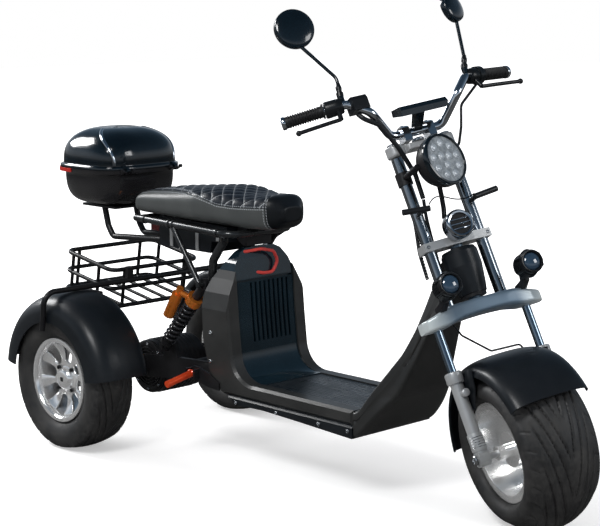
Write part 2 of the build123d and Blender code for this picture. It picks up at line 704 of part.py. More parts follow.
with BuildPart() as front_rim:
    with BuildSketch(fork):
        rim_profile(front_rim_r, front_rim_w)
        edge = front_rim_r - bead_drop - 2
        Polygon((edge, web_from), (edge, web_to), (front_axle_r + clearance, web_to), (front_axle_r + clearance, web_from), align=None)
        Polygon((edge, -web_to), (edge, -web_from), (front_axle_r + clearance, -web_from), (front_axle_r + clearance, -web_to), align=None)
        bore = front_axle_r + clearance
        Polygon((bore, -84), (bore, disc_plate_y), (front_hub_r, disc_plate_y), (front_hub_r, -84), align=None)
        Polygon((bore, -50), (bore, 50), (44, 50), (44, -50), align=None)
    revolve(axis=spin)
save("front_rim", front_rim.part)

with BuildPart() as brake_disc:
    with BuildSketch(fork):
        bore = front_axle_r + clearance
        Polygon((bore, disc_plate_y), (bore, disc_plate_y + 4), (disc_plate_r, disc_plate_y + 4), (disc_plate_r, disc_plate_y), align=None)
    revolve(axis=spin)
save("brake_disc", brake_disc.part)

# ---------------------------------------------------------------- lower legs, axle and front arch
yoke_from, yoke_to = 320.0, 368.0
collar_from, collar_to_z = 197.0, 215.0
with BuildPart() as fork_legs:
    for name, sign in sides:
        y = sign * leg_half
        rod((0, y, -12), (0, y, collar_to_z), slider_r, fork)
        rod((0, y, collar_from), (0, y, collar_to_z), slider_r + 2, fork)
        rod((0, y - 14, 0), (0, y + 14, 0), 19, fork)
    rod((0, -leg_half - 20, 0), (0, leg_half + 20, 0), front_axle_r, fork)
    slab(((-8, 62), (-62, 34), (-90, 20), (-90, -30), (-60, -30), (-14, 12)), -leg_half, -caliper_out - clearance, fork_side)
save("fork_legs", fork_legs.part)

with BuildPart() as stanchions:
    for name, sign in sides:
        y = sign * leg_half
        rod((0, y, collar_to_z), (0, y, yoke_from), stanchion_r, fork)
save("stanchions", stanchions.part)

with BuildPart() as brake_caliper:
    slab(((-54, 28), (-92, 20), (-92, -30), (-54, -30)), -caliper_out, -caliper_in, fork_side)
    slab(((-40, 40), (-86, 40), (-86, -40), (-40, -40)), -disc_plate_y - 9, -disc_plate_y + 5, fork_side, Mode.SUBTRACT)
save("brake_caliper", brake_caliper.part)

front_fender_r = 227.0
front_fender_half = 103.0
front_arch_from, front_arch_to = 20.0, 167.0
first = radians(front_arch_from)
arch_x = fork.x_dir * cos(first) + fork.z_dir * sin(first)
with BuildPart() as front_fender:
    with BuildSketch(Plane(origin=fork.origin, x_dir=arch_x, z_dir=arch_x.cross(fork.y_dir))):
        with BuildLine():
            FilletPolyline(
                (200, -front_fender_half), (front_fender_r - 3, -front_fender_half + 6), (front_fender_r, 0),
                (front_fender_r - 3, front_fender_half - 6), (200, front_fender_half), radius=[14, 400, 14],
            )
            offset(amount=fender_t, side=Side.LEFT)
        make_face()
    revolve(axis=Axis(fork.origin, -fork.y_dir), revolution_arc=front_arch_to - front_arch_from)
    for name, sign in sides:
        ear = ((-14, 120), (-14, 190), (22, 194), (34, 208), (66, 204), (54, 160), (14, 112))
        near = leg_half - slider_r - clearance
        slab(ear, -sign * near, -sign * (front_fender_half - 0.5), fork_side)
save("front_fender", front_fender.part)

# ---------------------------------------------------------------- yokes, upper tubes and stem
tube_top = 756.0
top_yoke_to = 790.0
clamp_from, clamp_to = 509.0, 530.0
yoke_plan = (
    (-26, -128), (-26, 128), (-14, 160), (10, 162), (44, 128), (47, 60), (47, -60), (44, -128), (10, -162), (-14, -160),
)
# half of the yoke seen from the front: half width, height
yoke_arch = (
    (0, yoke_to), (92, yoke_to), (126, yoke_to - 11), (163, yoke_to - 21), (163, yoke_from), (104, yoke_from),
    (66, yoke_from + 9), (0, yoke_from + 11),
)
with BuildPart() as lower_yoke:
    slab(yoke_plan, yoke_from, yoke_to, fork)
    fillet(lower_yoke.edges().filter_by(Axis(fork.origin, fork.z_dir)), 8)
    with BuildPart(mode=Mode.PRIVATE) as arch:
        slab([*yoke_arch[:5], *[(-y, z) for y, z in reversed(yoke_arch[1:5])]], -60, 60, fork_front)
        slab([*yoke_arch[5:], *[(-y, z) for y, z in reversed(yoke_arch[5:-1])], (-104, yoke_from - 1), (104, yoke_from - 1)],
             -60, 60, fork_front, Mode.SUBTRACT)
    add(arch.part, mode=Mode.INTERSECT)
    rod((0, 0, yoke_to - 2), (0, 0, clamp_from - clearance), stem_r, fork)
save("lower_yoke", lower_yoke.part)

with BuildPart() as upper_tubes:
    for name, sign in sides:
        rod((0, sign * fork_half, yoke_to), (0, sign * fork_half, tube_top), upper_tube_r, fork)
save("upper_tubes", upper_tubes.part)

clamp_plan = ((-22, -92), (-22, 92), (22, 92), (30, 40), (30, -40), (22, -92))
with BuildPart() as mid_clamp:
    slab(clamp_plan, clamp_from, clamp_to, fork)
    for name, sign in sides:
        rod((0, sign * fork_half, clamp_from - 5), (0, sign * fork_half, clamp_to + 5), upper_tube_r + clearance, fork, Mode.SUBTRACT)
save("mid_clamp", mid_clamp.part)

with BuildPart() as top_yoke:
    slab(((-24, -92), (-24, 92), (24, 92), (30, 40), (30, -40), (24, -92)), tube_top, top_yoke_to, fork)
save("top_yoke", top_yoke.part)

# ---------------------------------------------------------------- handlebar and what is clamped on it
bar_r = 11.0
bar_points = (
    (-28, -313, 918), (34, -165, 912), (56, -122, 874), (8, -70, 812), (8, 70, 812), (56, 122, 874), (34, 165, 912),
    (-28, 313, 918),
)
grip_from = 218.0
bar_slope = (bar_points[7][0] - bar_points[6][0]) / (bar_points[7][1] - bar_points[6][1])
bar_rise = (bar_points[7][2] - bar_points[6][2]) / (bar_points[7][1] - bar_points[6][1])


def on_bar(sign, y, dx=0.0, dz=0.0):
    """Point beside the straight end of the handlebar at the distance y from its middle."""
    past = y - bar_points[6][1]
    return (bar_points[6][0] + bar_slope * past + dx, sign * y, bar_points[6][2] + bar_rise * past + dz)


with BuildPart() as handlebar:
    tube(bar_points, 30, bar_r, fork)
save("handlebar", handlebar.part)
with BuildPart() as bar_void:
    tube(bar_points, 30, bar_r + clearance, fork)

with BuildPart() as risers:
    for y in (-34, 34):
        slab(((-12, top_yoke_to), (28, top_yoke_to), (26, 824), (16, 830), (0, 830), (-10, 824)), -y - 10, -y + 10, fork_side)
    add(bar_void.part, mode=Mode.SUBTRACT)
save("risers", risers.part)

with BuildPart() as grips:
    for name, sign in sides:
        rod(on_bar(sign, grip_from), on_bar(sign, 316), 15, fork)
        rod(on_bar(sign, grip_from), on_bar(sign, grip_from + 5), 18, fork)
    add(bar_void.part, mode=Mode.SUBTRACT)
save("grips", grips.part)

with BuildPart() as brake_levers:
    for name, sign in sides:
        rod(on_bar(sign, 184), on_bar(sign, 197), 16, fork)
        rod(on_bar(sign, 190, 8, -10), on_bar(sign, 196, 22, -38), 6, fork)
        tube((on_bar(sign, 196, 22, -38), on_bar(sign, 236, 36, -42), (34, sign * 309, 868)), 30, 5, fork)
    add(bar_void.part, mode=Mode.SUBTRACT)
save("brake_levers", brake_levers.part)

with BuildPart() as switch_boxes:
    slab(((18, 884), (18, 914), (26, 920), (58, 920), (64, 910), (64, 884)), 120, 162, fork_side)
    rod(on_bar(1, 200), on_bar(1, 216), 23, fork)
    add(bar_void.part, mode=Mode.SUBTRACT)
save("switch_boxes", switch_boxes.part)

# side, mirror's middle, its radius, how far its face is turned to the rider, bend of its stem
mirror_rows = (
    (-1, (2, -217, 1139), 50.0, 0.0, (24, -163, 985)),
    (1, (12, 210, 1103), 37.0, 31.0, (27, 186, 965)),
)
mirror_t = 16.0
with BuildPart() as mirrors:
    for sign, middle, radius, turn, bend in mirror_rows:
        ahead = Vector(cos(radians(turn)), sin(radians(turn)), 0)
        rim = Vector(*middle) - Vector(0, 0, radius - 5)
        rod(on_bar(sign, 173), on_bar(sign, 173, 0, 24), 8, fork)
        tube((on_bar(sign, 173, 0, 22), bend, tuple(rim)), 30, 4.5, fork)
        rod(tuple(Vector(*middle) - ahead * mirror_t / 2), tuple(Vector(*middle) + ahead * mirror_t / 2), radius, fork)
    add(bar_void.part, mode=Mode.SUBTRACT)
save("mirrors", mirrors.part)
with BuildPart() as mirror_glass:
    for sign, middle, radius, turn, bend in mirror_rows:
        ahead = Vector(cos(radians(turn)), sin(radians(turn)), 0)
        face = Vector(*middle) - ahead * mirror_t / 2
        rod(tuple(face), tuple(face - ahead * 2), radius - 4, fork)
save("mirror_glass", mirror_glass.part)

with BuildPart() as display:
    slab(((96, 832), (100, 846), (92, 858), (44, 866), (40, 850)), -64, 64, fork_side)
    slab(((14, 806), (14, 824), (50, 855), (70, 845)), -12, 12, fork_side)
    add(bar_void.part, mode=Mode.SUBTRACT)
save("display", display.part)

# ---------------------------------------------------------------- lamps and horn
lamp_turn = radians(22)
lamp_x, lamp_z = 110.0, 702.0
lamp_r = 65.0
lamp_lip = 6.0
lamp_dir = fork.x_dir * cos(lamp_turn) + fork.y_dir * sin(lamp_turn)
lamp = Plane(origin=along(fork, lamp_x, 0, lamp_z), x_dir=lamp_dir.cross(fork.z_dir), z_dir=lamp_dir)
with BuildPart() as headlamp:
    with BuildSketch(Plane(origin=lamp.origin, x_dir=lamp.z_dir, z_dir=lamp.x_dir)):
        # distance ahead of the lens, radius
        Polygon(
            (-lamp_lip, 0), (-lamp_lip, lamp_r - lamp_lip), (0, lamp_r - lamp_lip), (0, lamp_r), (-28, lamp_r), (-50, 54),
            (-68, 34), (-76, 16), (-76, 0), align=None,
        )
    revolve(axis=Axis(lamp.origin, lamp.z_dir))
save("headlamp", headlamp.part)
with BuildPart() as headlamp_lens:
    rod((0, 0, -lamp_lip), (0, 0, -1), lamp_r - lamp_lip - clearance, lamp)
save("headlamp_lens", headlamp_lens.part)

# side, middle of the arm's outer end
lamp_arms = ((-1, (100, -74, lamp_z)), (1, (60, 56, lamp_z)))
with BuildPart() as lamp_bracket:
    for sign, end in lamp_arms:
        rod((0, sign * fork_half, lamp_z - 16), (0, sign * fork_half, lamp_z + 16), upper_tube_r + 4, fork)
        rod((14, sign * (fork_half + 2), lamp_z), end, 7, fork)
    add(headlamp.part, mode=Mode.SUBTRACT)
    for name, sign in sides:
        rod((0, sign * fork_half, lamp_z - 20), (0, sign * fork_half, lamp_z + 20), upper_tube_r + clearance, fork, Mode.SUBTRACT)
save("lamp_bracket", lamp_bracket.part)

with BuildPart() as horn:
    rod((34, 0, 549), (62, 0, 549), 36, fork)
    rod((24, 0, 549), (34, 0, 549), 16, fork)
    slab(((12, clamp_to + clearance), (12, 560), (24, 560), (24, clamp_to + clearance)), -14, 14, fork_side)
save("horn", horn.part)

# signal's middle line: x, y, height at its outer and inner end
signal_out = (53.0, 130.0, 612.0)
signal_in = (62.0, 62.0, 604.0)
with BuildPart() as turn_signals:
    for name, sign in sides:
        out = (signal_out[0], sign * signal_out[1], signal_out[2])
        near = (signal_in[0], sign * signal_in[1], signal_in[2])
        rod(near, out, 7.5, fork)
        rod((upper_tube_r + clearance, sign * fork_half, 606), (60, sign * fork_half, 606), 6, fork)
save("turn_signals", turn_signals.part)

spot_y, spot_z = 111.0, 402.0
spot_r = 28.0
with BuildPart() as spotlights:
    for name, sign in sides:
        rod((82, sign * spot_y, spot_z), (128, sign * spot_y, spot_z), spot_r, fork)
        rod((66, sign * spot_y, spot_z), (82, sign * spot_y, spot_z), 20, fork)
        arm = ((16, yoke_to - 14), (16, yoke_to + 2), (54, yoke_to + 8), (66, spot_z + 6), (74, spot_z + 6), (74, yoke_to + 2),
               (42, yoke_to - 14))
        slab(arm, -sign * spot_y - 8, -sign * spot_y + 8, fork_side)
    add(lower_yoke.part, mode=Mode.SUBTRACT)
save("spotlights", spotlights.part)

# ---------------------------------------------------------------- cables that turn with the handlebar
# radius, bend, points: loom from the right grip, its branch to the lamp, lamp lead, left lead, brake hose, spiral cable
cable_rows = (
    (6.0, 24, ((44, -150, 878), (52, -143, 861), (50, -107, 837), (42, -76, 770), (24, -50, 702), (20, -50, 640))),
    (2.5, 14, ((24, -50, 700), (40, -46, 712), (54, -42, 708))),
    (6.0, 40, ((62, -18, 652), (50, -16, 628), (34, -14, 600), (19, -14, 580))),
    (3.5, 30, ((16, 207, 898), (26, 132, 846), (28, 110, 790), (34, 84, 745), (50, 40, 730))),
    (2.5, 14, ((4, -80, 322), (-14, -60, 296), (-34, 10, 242), (-52, 100, 240), (-66, 118, 190), (-80, 118, 60), (-86, 96, 21))),
    (4.5, 120, ((-24, -66, 636), (-24, -76, 578), (-25, -88, 520), (-25, -91, 452))),
)
with BuildPart() as cables:
    for radius, bend, points in cable_rows:
        tube(points, bend, radius, fork)
    for piece in (headlamp, lower_yoke, switch_boxes, handlebar, horn, brake_caliper, mid_clamp):
        add(piece.part, mode=Mode.SUBTRACT)
save("cables", cables.part)
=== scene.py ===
"""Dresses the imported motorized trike: finishes for its solids, and the pieces that only the eye needs.

Metres, +X forward, +Y the rider's left, +Z up, tyres on Z = 0.
"""

from math import cos, pi, radians, sin, sqrt

import bmesh
import bpy
import numpy as np
from mathutils import Matrix, Vector


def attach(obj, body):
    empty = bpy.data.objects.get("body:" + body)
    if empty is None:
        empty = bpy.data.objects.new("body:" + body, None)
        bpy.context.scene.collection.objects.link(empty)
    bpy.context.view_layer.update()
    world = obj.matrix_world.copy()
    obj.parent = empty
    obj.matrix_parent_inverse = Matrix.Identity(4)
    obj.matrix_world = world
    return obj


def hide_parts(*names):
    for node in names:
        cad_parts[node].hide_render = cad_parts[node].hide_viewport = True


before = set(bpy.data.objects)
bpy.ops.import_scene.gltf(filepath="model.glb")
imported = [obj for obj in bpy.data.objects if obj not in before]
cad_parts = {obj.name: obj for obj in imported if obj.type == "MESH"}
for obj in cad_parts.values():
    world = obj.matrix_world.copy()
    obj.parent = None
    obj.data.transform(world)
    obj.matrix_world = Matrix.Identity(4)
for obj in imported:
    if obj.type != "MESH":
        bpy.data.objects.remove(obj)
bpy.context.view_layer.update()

# ================================================================ stage, light and camera
# A pale studio: one large floor, three soft lamps, and a sky that is reflected bright low down and
# dark blue overhead. The camera stands off the trike's right front corner.


class Signal:
    """A socket that carries a value in a material's tree; arithmetic on it adds Math nodes."""

    def __init__(self, finish, socket):
        self.finish = finish
        self.socket = socket

    def _math(self, operation, first, second):
        return self.finish.node("ShaderNodeMath", {"operation": operation}, {0: first, 1: second})

    def __add__(self, other):
        return self._math("ADD", self, other)

    def __radd__(self, other):
        return self._math("ADD", other, self)

    def __sub__(self, other):
        return self._math("SUBTRACT", self, other)

    def __rsub__(self, other):
        return self._math("SUBTRACT", other, self)

    def __mul__(self, other):
        return self._math("MULTIPLY", self, other)

    def __rmul__(self, other):
        return self._math("MULTIPLY", other, self)

    def __truediv__(self, other):
        return self._math("DIVIDE", self, other)

    def __gt__(self, other):
        return self._math("GREATER_THAN", self, other)

    def call(self, operation, other=0.0):
        return self._math(operation, self, other)


class Finish:
    """One material and its node tree."""

    def __init__(self, name, tree=None):
        if tree is None:
            self.material = bpy.data.materials.new(name)
            self.material.use_nodes = True
            tree = self.material.node_tree
        self.tree = tree
        self.surface = tree.nodes.get("Principled BSDF")

    def node(self, kind, settings=None, inputs=None, output=0):
        """Adds a node: its settings first, then the values or links of its sockets."""
        made = self.tree.nodes.new(kind)
        for key, value in (settings or {}).items():
            if key == "stops":
                ramp = made.color_ramp
                while len(ramp.elements) < len(value):
                    ramp.elements.new(0.5)
                for element, (place, colour) in zip(ramp.elements, value):
                    element.position = place
                    element.color = (*colour, 1.0) if len(colour) == 3 else colour
            else:
                setattr(made, key, value)
        for key, value in (inputs or {}).items():
            if isinstance(value, Signal):
                self.tree.links.new(value.socket, made.inputs[key])
            else:
                made.inputs[key].default_value = value
        return Signal(self, made.outputs[output])

    def place(self):
        return self.node("ShaderNodeTexCoord", output="Object")

    def parts(self, vector):
        """The x, y and z of a vector."""
        made = self.node("ShaderNodeSeparateXYZ", None, {0: vector})
        outputs = made.socket.node.outputs
        return [Signal(self, outputs[i]) for i in range(3)]

    def noise(self, scale, detail=3.0, vector=None, rough=0.55):
        return self.node(
            "ShaderNodeTexNoise", None,
            {"Vector": vector or self.place(), "Scale": scale, "Detail": detail, "Roughness": rough},
        )

    def clamp(self, value, low, high):
        """0 below `low`, 1 above `high` and straight between."""
        return self.node("ShaderNodeMapRange", {"clamp": True},
            {"Value": value, "From Min": low, "From Max": high})

    def mix(self, share, first, second):
        """Colour `first` where share is 0 and `second` where it is 1."""
        made = self.node("ShaderNodeMix", {"data_type": "RGBA"})
        node = made.socket.node
        for socket, value in ((node.inputs[0], share), (node.inputs[6], first), (node.inputs[7], second)):
            if isinstance(value, Signal):
                self.tree.links.new(value.socket, socket)
            else:
                socket.default_value = (*value, 1.0) if isinstance(value, tuple) else value
        return Signal(self, node.outputs[2])

    def bump(self, height, distance, strength=1.0):
        made = self.node("ShaderNodeBump", None, {"Height": height, "Distance": distance, "Strength": strength})
        self.feed(Normal=made)

    def feed(self, **links):
        for key, value in links.items():
            self.tree.links.new(value.socket, self.surface.inputs[key.replace("_", " ")])

    def fix(self, **values):
        for key, value in values.items():
            self.surface.inputs[key.replace("_", " ")].default_value = value


floor_w = 40.0
bpy.ops.mesh.primitive_plane_add(size=floor_w)
floor = bpy.context.object
floor.name = "studio_floor"
floor_paint = Finish("studio_floor_paint")
floor_paint.fix(Roughness=0.75)
floor_paint.surface.inputs["Specular IOR Level"].default_value = 0.1
floor_grain = floor_paint.noise(3.0)
floor_pale = floor_paint.mix(floor_grain, (0.86, 0.86, 0.86), (0.88, 0.88, 0.88))
# Seen in reflections the floor turns a dark grey: a painted reflection, so that metal and gloss mirror a dark
# ground under them.
shone = floor_paint.node("ShaderNodeLightPath", output="Is Glossy Ray")
floor_paint.feed(Base_Color=floor_paint.mix(shone, floor_pale, (0.08, 0.08, 0.078)))
seen = floor_paint.node("ShaderNodeLightPath", output="Is Camera Ray")
floor_spot = floor_paint.parts(floor_paint.place())
floor_far = (floor_spot[0] * floor_spot[0] + floor_spot[1] * floor_spot[1]).call("SQRT")
floor_fade = floor_paint.clamp(floor_far, 0.9, 2.6)
floor_glow = floor_paint.node("ShaderNodeEmission", None,
    {"Color": (1, 1, 1, 1), "Strength": 0.42 + floor_fade * 0.6})
floor_dark = floor_paint.node("ShaderNodeEmission", None, {"Color": (0, 0, 0, 1), "Strength": 0.0})
floor_added = floor_paint.node("ShaderNodeMixShader", None, {0: seen, 1: floor_dark, 2: floor_glow})
floor_sum = floor_paint.node("ShaderNodeAddShader", None, {
    0: Signal(floor_paint, floor_paint.surface.outputs[0]), 1: floor_added})
floor_paint.tree.links.new(floor_sum.socket, floor_paint.tree.nodes["Material Output"].inputs[0])
floor.data.materials.append(floor_paint.material)

world = bpy.data.worlds.new("studio")
bpy.context.scene.world = world
world.use_nodes = True
sky = Finish("sky", world.node_tree)
ray = world.node_tree.nodes.new("ShaderNodeLightPath")
background = world.node_tree.nodes["Background"]
sky_up = sky.parts(sky.node("ShaderNodeTexCoord", output="Generated"))[2]
sky_shine = sky.node("ShaderNodeValToRGB", {"stops": (
    (0.0, (0.1, 0.1, 0.1)), (0.05, (0.4, 0.42, 0.44)), (0.18, (0.5, 0.56, 0.63)), (0.38, (0.12, 0.18, 0.25)),
    (0.8, (0.035, 0.06, 0.09)), (1.0, (0.03, 0.05, 0.08)),
)}, {0: sky_up})
sky_plain = sky.mix(Signal(sky, ray.outputs["Is Camera Ray"]), (0.56, 0.56, 0.57), (1.0, 1.0, 1.0))
sky_all = sky.mix(Signal(sky, ray.outputs["Is Glossy Ray"]), sky_plain, sky_shine)
sky.tree.links.new(sky_all.socket, background.inputs[0])
background.inputs[1].default_value = 1.0

# name, place, aim, size, power
lamp_rows = (
    ("key", (1.0, -3.4, 4.0), (0.1, 0.0, 0.5), 1.4, 120.0),
    ("fill", (4.2, 1.4, 2.6), (0.2, 0.0, 0.5), 1.4, 40.0),
    ("back", (-4.2, -1.0, 2.9), (0.2, 0.0, 0.5), 1.6, 170.0),
)
for name, spot, aim, size, power in lamp_rows:
    light = bpy.data.lights.new(name, "AREA")
    light.size = size
    light.energy = power
    lamp_object = bpy.data.objects.new(name, light)
    bpy.context.scene.collection.objects.link(lamp_object)
    lamp_object.location = spot
    lamp_object.rotation_euler = (Vector(aim) - Vector(spot)).to_track_quat("-Z", "Y").to_euler()

rear_x = -0.6292036        # rear axle
camera_data = bpy.data.cameras.new("camera")
sensor_w, focal_px, image_w = 36.0, 1711.5, 600.0
camera_data.sensor_width = sensor_w
camera_data.lens = sensor_w * focal_px / image_w
camera = bpy.data.objects.new("camera", camera_data)
bpy.context.scene.collection.objects.link(camera)
yaw, pitch, roll = radians(46.38), radians(9.19), radians(-0.35)
look = Vector((-sin(yaw) * cos(pitch), cos(yaw) * cos(pitch), -sin(pitch)))
right = Vector((cos(yaw), sin(yaw), 0.0))
up = right.cross(look)
turned_right = right * cos(roll) + up * sin(roll)
turned_up = up * cos(roll) - right * sin(roll)
pose = Matrix((turned_right, turned_up, -look)).transposed().to_4x4()
pose.translation = Vector((3.883 + rear_x, -3.127, 1.2915))
camera.matrix_world = pose
bpy.context.scene.camera = camera
bpy.context.scene.view_settings.view_transform = "Standard"

# ================================================================ plastic body
# The side panels, arches, neck and tray are injection-moulded in black plastic with a satin face;
# the mould leaves a faint grain, and handling leaves slightly duller patches.


def moulded(name, dark, light, rough, grain=900.0, grain_depth=0.00004, metallic=0.0, coat=0.0, patch=7.0,
        coat_rough=0.05):
    """Finish whose colour and roughness drift between two values in soft patches, with a fine grain on top."""
    made = Finish(name)
    drift = made.clamp(made.noise(patch, 3.0), 0.35, 0.65)
    speck = made.noise(patch * 11, 4.0)
    made.feed(Base_Color=made.mix(drift * 0.75 + speck * 0.25, dark, light))
    made.feed(Roughness=rough[0] + (drift * 0.6 + speck * 0.4) * (rough[1] - rough[0]))
    made.fix(Metallic=metallic, Coat_Weight=coat, Coat_Roughness=coat_rough,
        Specular_IOR_Level=0.5 if metallic else 0.3)
    made.bump(made.noise(grain, 2.0), grain_depth)
    return made.material


satin_black = moulded("satin_black_plastic", (0.003, 0.0045, 0.0065), (0.007, 0.009, 0.0115), (0.34, 0.44),
    coat=0.08, coat_rough=0.2)
# The side panels and the neck are the same black plastic as the body; the paler grey given to them here is painted
# sheen, standing in for the sky they reflect.
panel_sheen_grey = moulded("side_panel_plastic", (0.014, 0.0145, 0.0145), (0.026, 0.0262, 0.0255), (0.32, 0.44),
    coat=0.1)
dark_gloss = moulded("housing_plastic", (0.003, 0.008, 0.012), (0.005, 0.014, 0.021), (0.14, 0.22), grain=300.0,
    grain_depth=0.000008, coat=0.5)
gloss_black = moulded("case_plastic", (0.001, 0.003, 0.005), (0.002, 0.006, 0.01), (0.12, 0.22), grain=200.0,
    grain_depth=0.00001, coat=0.8, coat_rough=0.09)
powder_black = moulded("powder_coat", (0.005, 0.005, 0.006), (0.012, 0.012, 0.013), (0.3, 0.46), grain=1600.0)
frame_black = moulded("frame_lacquer", (0.014, 0.015, 0.016), (0.03, 0.032, 0.034), (0.2, 0.32), metallic=0.5,
    coat=0.4)
small_black = moulded("small_parts_plastic", (0.004, 0.005, 0.006), (0.01, 0.011, 0.013), (0.24, 0.4),
    grain=1400.0)
# The faint blue cast in the chrome and satin tube colours below is painted reflection of the sky, over the grey of
# the bare metal.
chrome = moulded("chrome_plate", (0.55, 0.58, 0.62), (0.72, 0.74, 0.77), (0.07, 0.14), grain=120.0,
    grain_depth=0.00001, metallic=1.0)
silver = moulded("satin_tube", (0.26, 0.29, 0.32), (0.4, 0.43, 0.46), (0.13, 0.22), grain=700.0,
    grain_depth=0.00001, metallic=1.0)
# The stanchions are grey steel; the blue of this colour is painted reflection of the sky, not a blued finish.
sky_tinted_tube = moulded("sky_tinted_tube", (0.16, 0.22, 0.28), (0.28, 0.34, 0.4), (0.1, 0.2), grain=300.0,
    grain_depth=0.00001, metallic=1.0)
cast_silver = moulded("cast_alloy", (0.34, 0.35, 0.355), (0.46, 0.47, 0.475), (0.34, 0.48), grain=500.0,
    metallic=0.55)
orange = moulded("orange_anodised", (0.62, 0.16, 0.02), (0.8, 0.26, 0.04), (0.2, 0.34), metallic=0.7, coat=0.4)
red = moulded("red_anodised", (0.42, 0.01, 0.008), (0.6, 0.03, 0.02), (0.25, 0.42), metallic=0.4, coat=0.3)
peg_red = moulded("peg_anodised", (0.5, 0.035, 0.006), (0.72, 0.07, 0.015), (0.25, 0.4), metallic=0.4, coat=0.3)
red_wire = moulded("red_cable_sleeve", (0.38, 0.02, 0.02), (0.5, 0.05, 0.04), (0.35, 0.5))
red_lamp = moulded("red_lens", (0.03, 0.001, 0.001), (0.06, 0.003, 0.003), (0.06, 0.14), coat=1.0)
mirror_face = moulded("mirror_silvering", (0.86, 0.88, 0.9), (0.9, 0.91, 0.93), (0.01, 0.03),
    grain_depth=0.000002, metallic=1.0)
rubber = moulded("grip_rubber", (0.006, 0.006, 0.007), (0.013, 0.013, 0.014), (0.42, 0.6), grain=1100.0)
steel = moulded("machined_steel", (0.4, 0.41, 0.43), (0.6, 0.61, 0.62), (0.18, 0.34), metallic=1.0)

node_finish = {
    satin_black: (
        "rear_fender_right", "rear_fender_left", "front_fender", "lower_tray", "case_base", "under_seat_box",
        "head_shroud"
    ),
    panel_sheen_grey: ("body_sides", "front_neck"),
    dark_gloss: ("battery_housing",),
    gloss_black: ("case_lid", "display", "mirrors"),
    red_lamp: ("tail_lamp",),
    powder_black: (
        "rear_axle", "swing_arm", "shocks", "shock_springs", "head_tube", "seat_post", "case_carrier",
        "fender_stays", "guard_bar", "basket", "peg_brackets", "brake_caliper", "lamp_bracket", "headlamp"
    ),
    small_black: ("brake_levers", "switch_boxes", "turn_signals", "spotlights", "cables"),
    sky_tinted_tube: ("stanchions",),
    chrome: ("handlebar", "risers", "horn"),
    silver: ("upper_tubes",),
    cast_silver: ("fork_legs", "mid_clamp", "top_yoke", "lower_yoke"),
    frame_black: ("seat_frame",),
    orange: ("shock_reservoirs",),
    red: ("case_band",),
    peg_red: ("peg_right", "peg_left"),
    red_wire: ("red_cable",),
    mirror_face: ("mirror_glass",),
    rubber: ("grips", "front_tyre", "rear_tyre_right", "rear_tyre_left", "seat"),
    steel: ("brake_disc", "headlamp_lens", "rear_rim_right", "rear_rim_left", "front_rim"),
}
for paint, names in node_finish.items():
    for name in names:
        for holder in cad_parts[name].material_slots:
            holder.material = paint


# ================================================================ tyres
# Fat tubeless tyres moulded in black rubber: slanted grooves cross the tread from its middle, short
# slots cut the shoulders into blocks, and fine rings run round the sidewalls above the rim.


def weave(points, round_closed, along_closed):
    """Quads over a grid: cell (i, j) joins its four neighbours, and a closed direction wraps round."""
    rows, cols = points.shape[:2]
    i, j = np.meshgrid(
        np.arange(rows if along_closed else rows - 1), np.arange(cols if round_closed else cols - 1),
        indexing="ij",
    )
    below, beside = (i + 1) % rows, (j + 1) % cols
    return np.stack([i * cols + j, i * cols + beside, below * cols + beside, below * cols + j], -1).reshape(-1, 4)


def piece(name, shells, body, paint, stands_for=(), crisp=38.0):
    """One object of grids (points, closed across, closed along): doubles merged, faces turned outwards."""
    points, faces, start = [], [], 0
    for grid, round_closed, along_closed in shells:
        points.append(grid.reshape(-1, 3))
        faces.append(weave(grid, round_closed, along_closed) + start)
        start += len(points[-1])
    mesh = bpy.data.meshes.new(name)
    mesh.from_pydata(np.concatenate(points).tolist(), [], np.concatenate(faces).tolist())
    work = bmesh.new()
    work.from_mesh(mesh)
    bmesh.ops.remove_doubles(work, verts=work.verts, dist=2e-6)
    bmesh.ops.dissolve_degenerate(work, edges=work.edges, dist=1e-7)
    bmesh.ops.recalc_face_normals(work, faces=work.faces)
    work.to_mesh(mesh)
    work.free()
    mesh.polygons.foreach_set("use_smooth", np.ones(len(mesh.polygons), bool))
    mesh.set_sharp_from_angle(angle=radians(crisp))
    mesh.materials.append(paint)
    made = bpy.data.objects.new(name, mesh)
    bpy.context.scene.collection.objects.link(made)
    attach(made, body)
    if stands_for:
        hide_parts(*stands_for)
    return made


def unit(vector):
    return np.array(vector, float) / np.linalg.norm(vector)


def run_along(points):
    """Distance travelled at each point of a line: the running sum of its steps' lengths."""
    steps = np.linalg.norm(np.diff(np.array(points, float), axis=0), axis=1)
    return np.concatenate([[0.0], np.cumsum(steps)])


def superellipse(turn, square):
    """Signed powers of the cosine and sine: sign(c) * abs(c) ** (2 / square), round at 2, boxy above."""
    c, s = np.cos(turn), np.sin(turn)
    return np.sign(c) * abs(c) ** (2 / square), np.sign(s) * abs(s) ** (2 / square)


def turned(profile, middle, axis, steps=48, closed=False, first=(0.0, 0.0, 1.0)):
    """Profile rows (distance along the axis, radius) carried round the axis: middle + axis * along
    + radius * (cos * first + sin * second)."""
    axis = unit(axis)
    first = unit(np.array(first) - axis * np.dot(first, axis)) if abs(np.dot(axis, first)) < 0.99 else unit(
        np.cross(axis, (1.0, 0.0, 0.0)))
    second = np.cross(axis, first)
    turn = np.linspace(0.0, 2 * pi, steps, endpoint=False)
    ring = np.cos(turn)[:, None] * first + np.sin(turn)[:, None] * second
    rows = np.array(profile, float)
    grid = np.array(middle) + rows[:, 0, None, None] * axis + rows[:, 1, None, None] * ring[None]
    return grid, True, closed


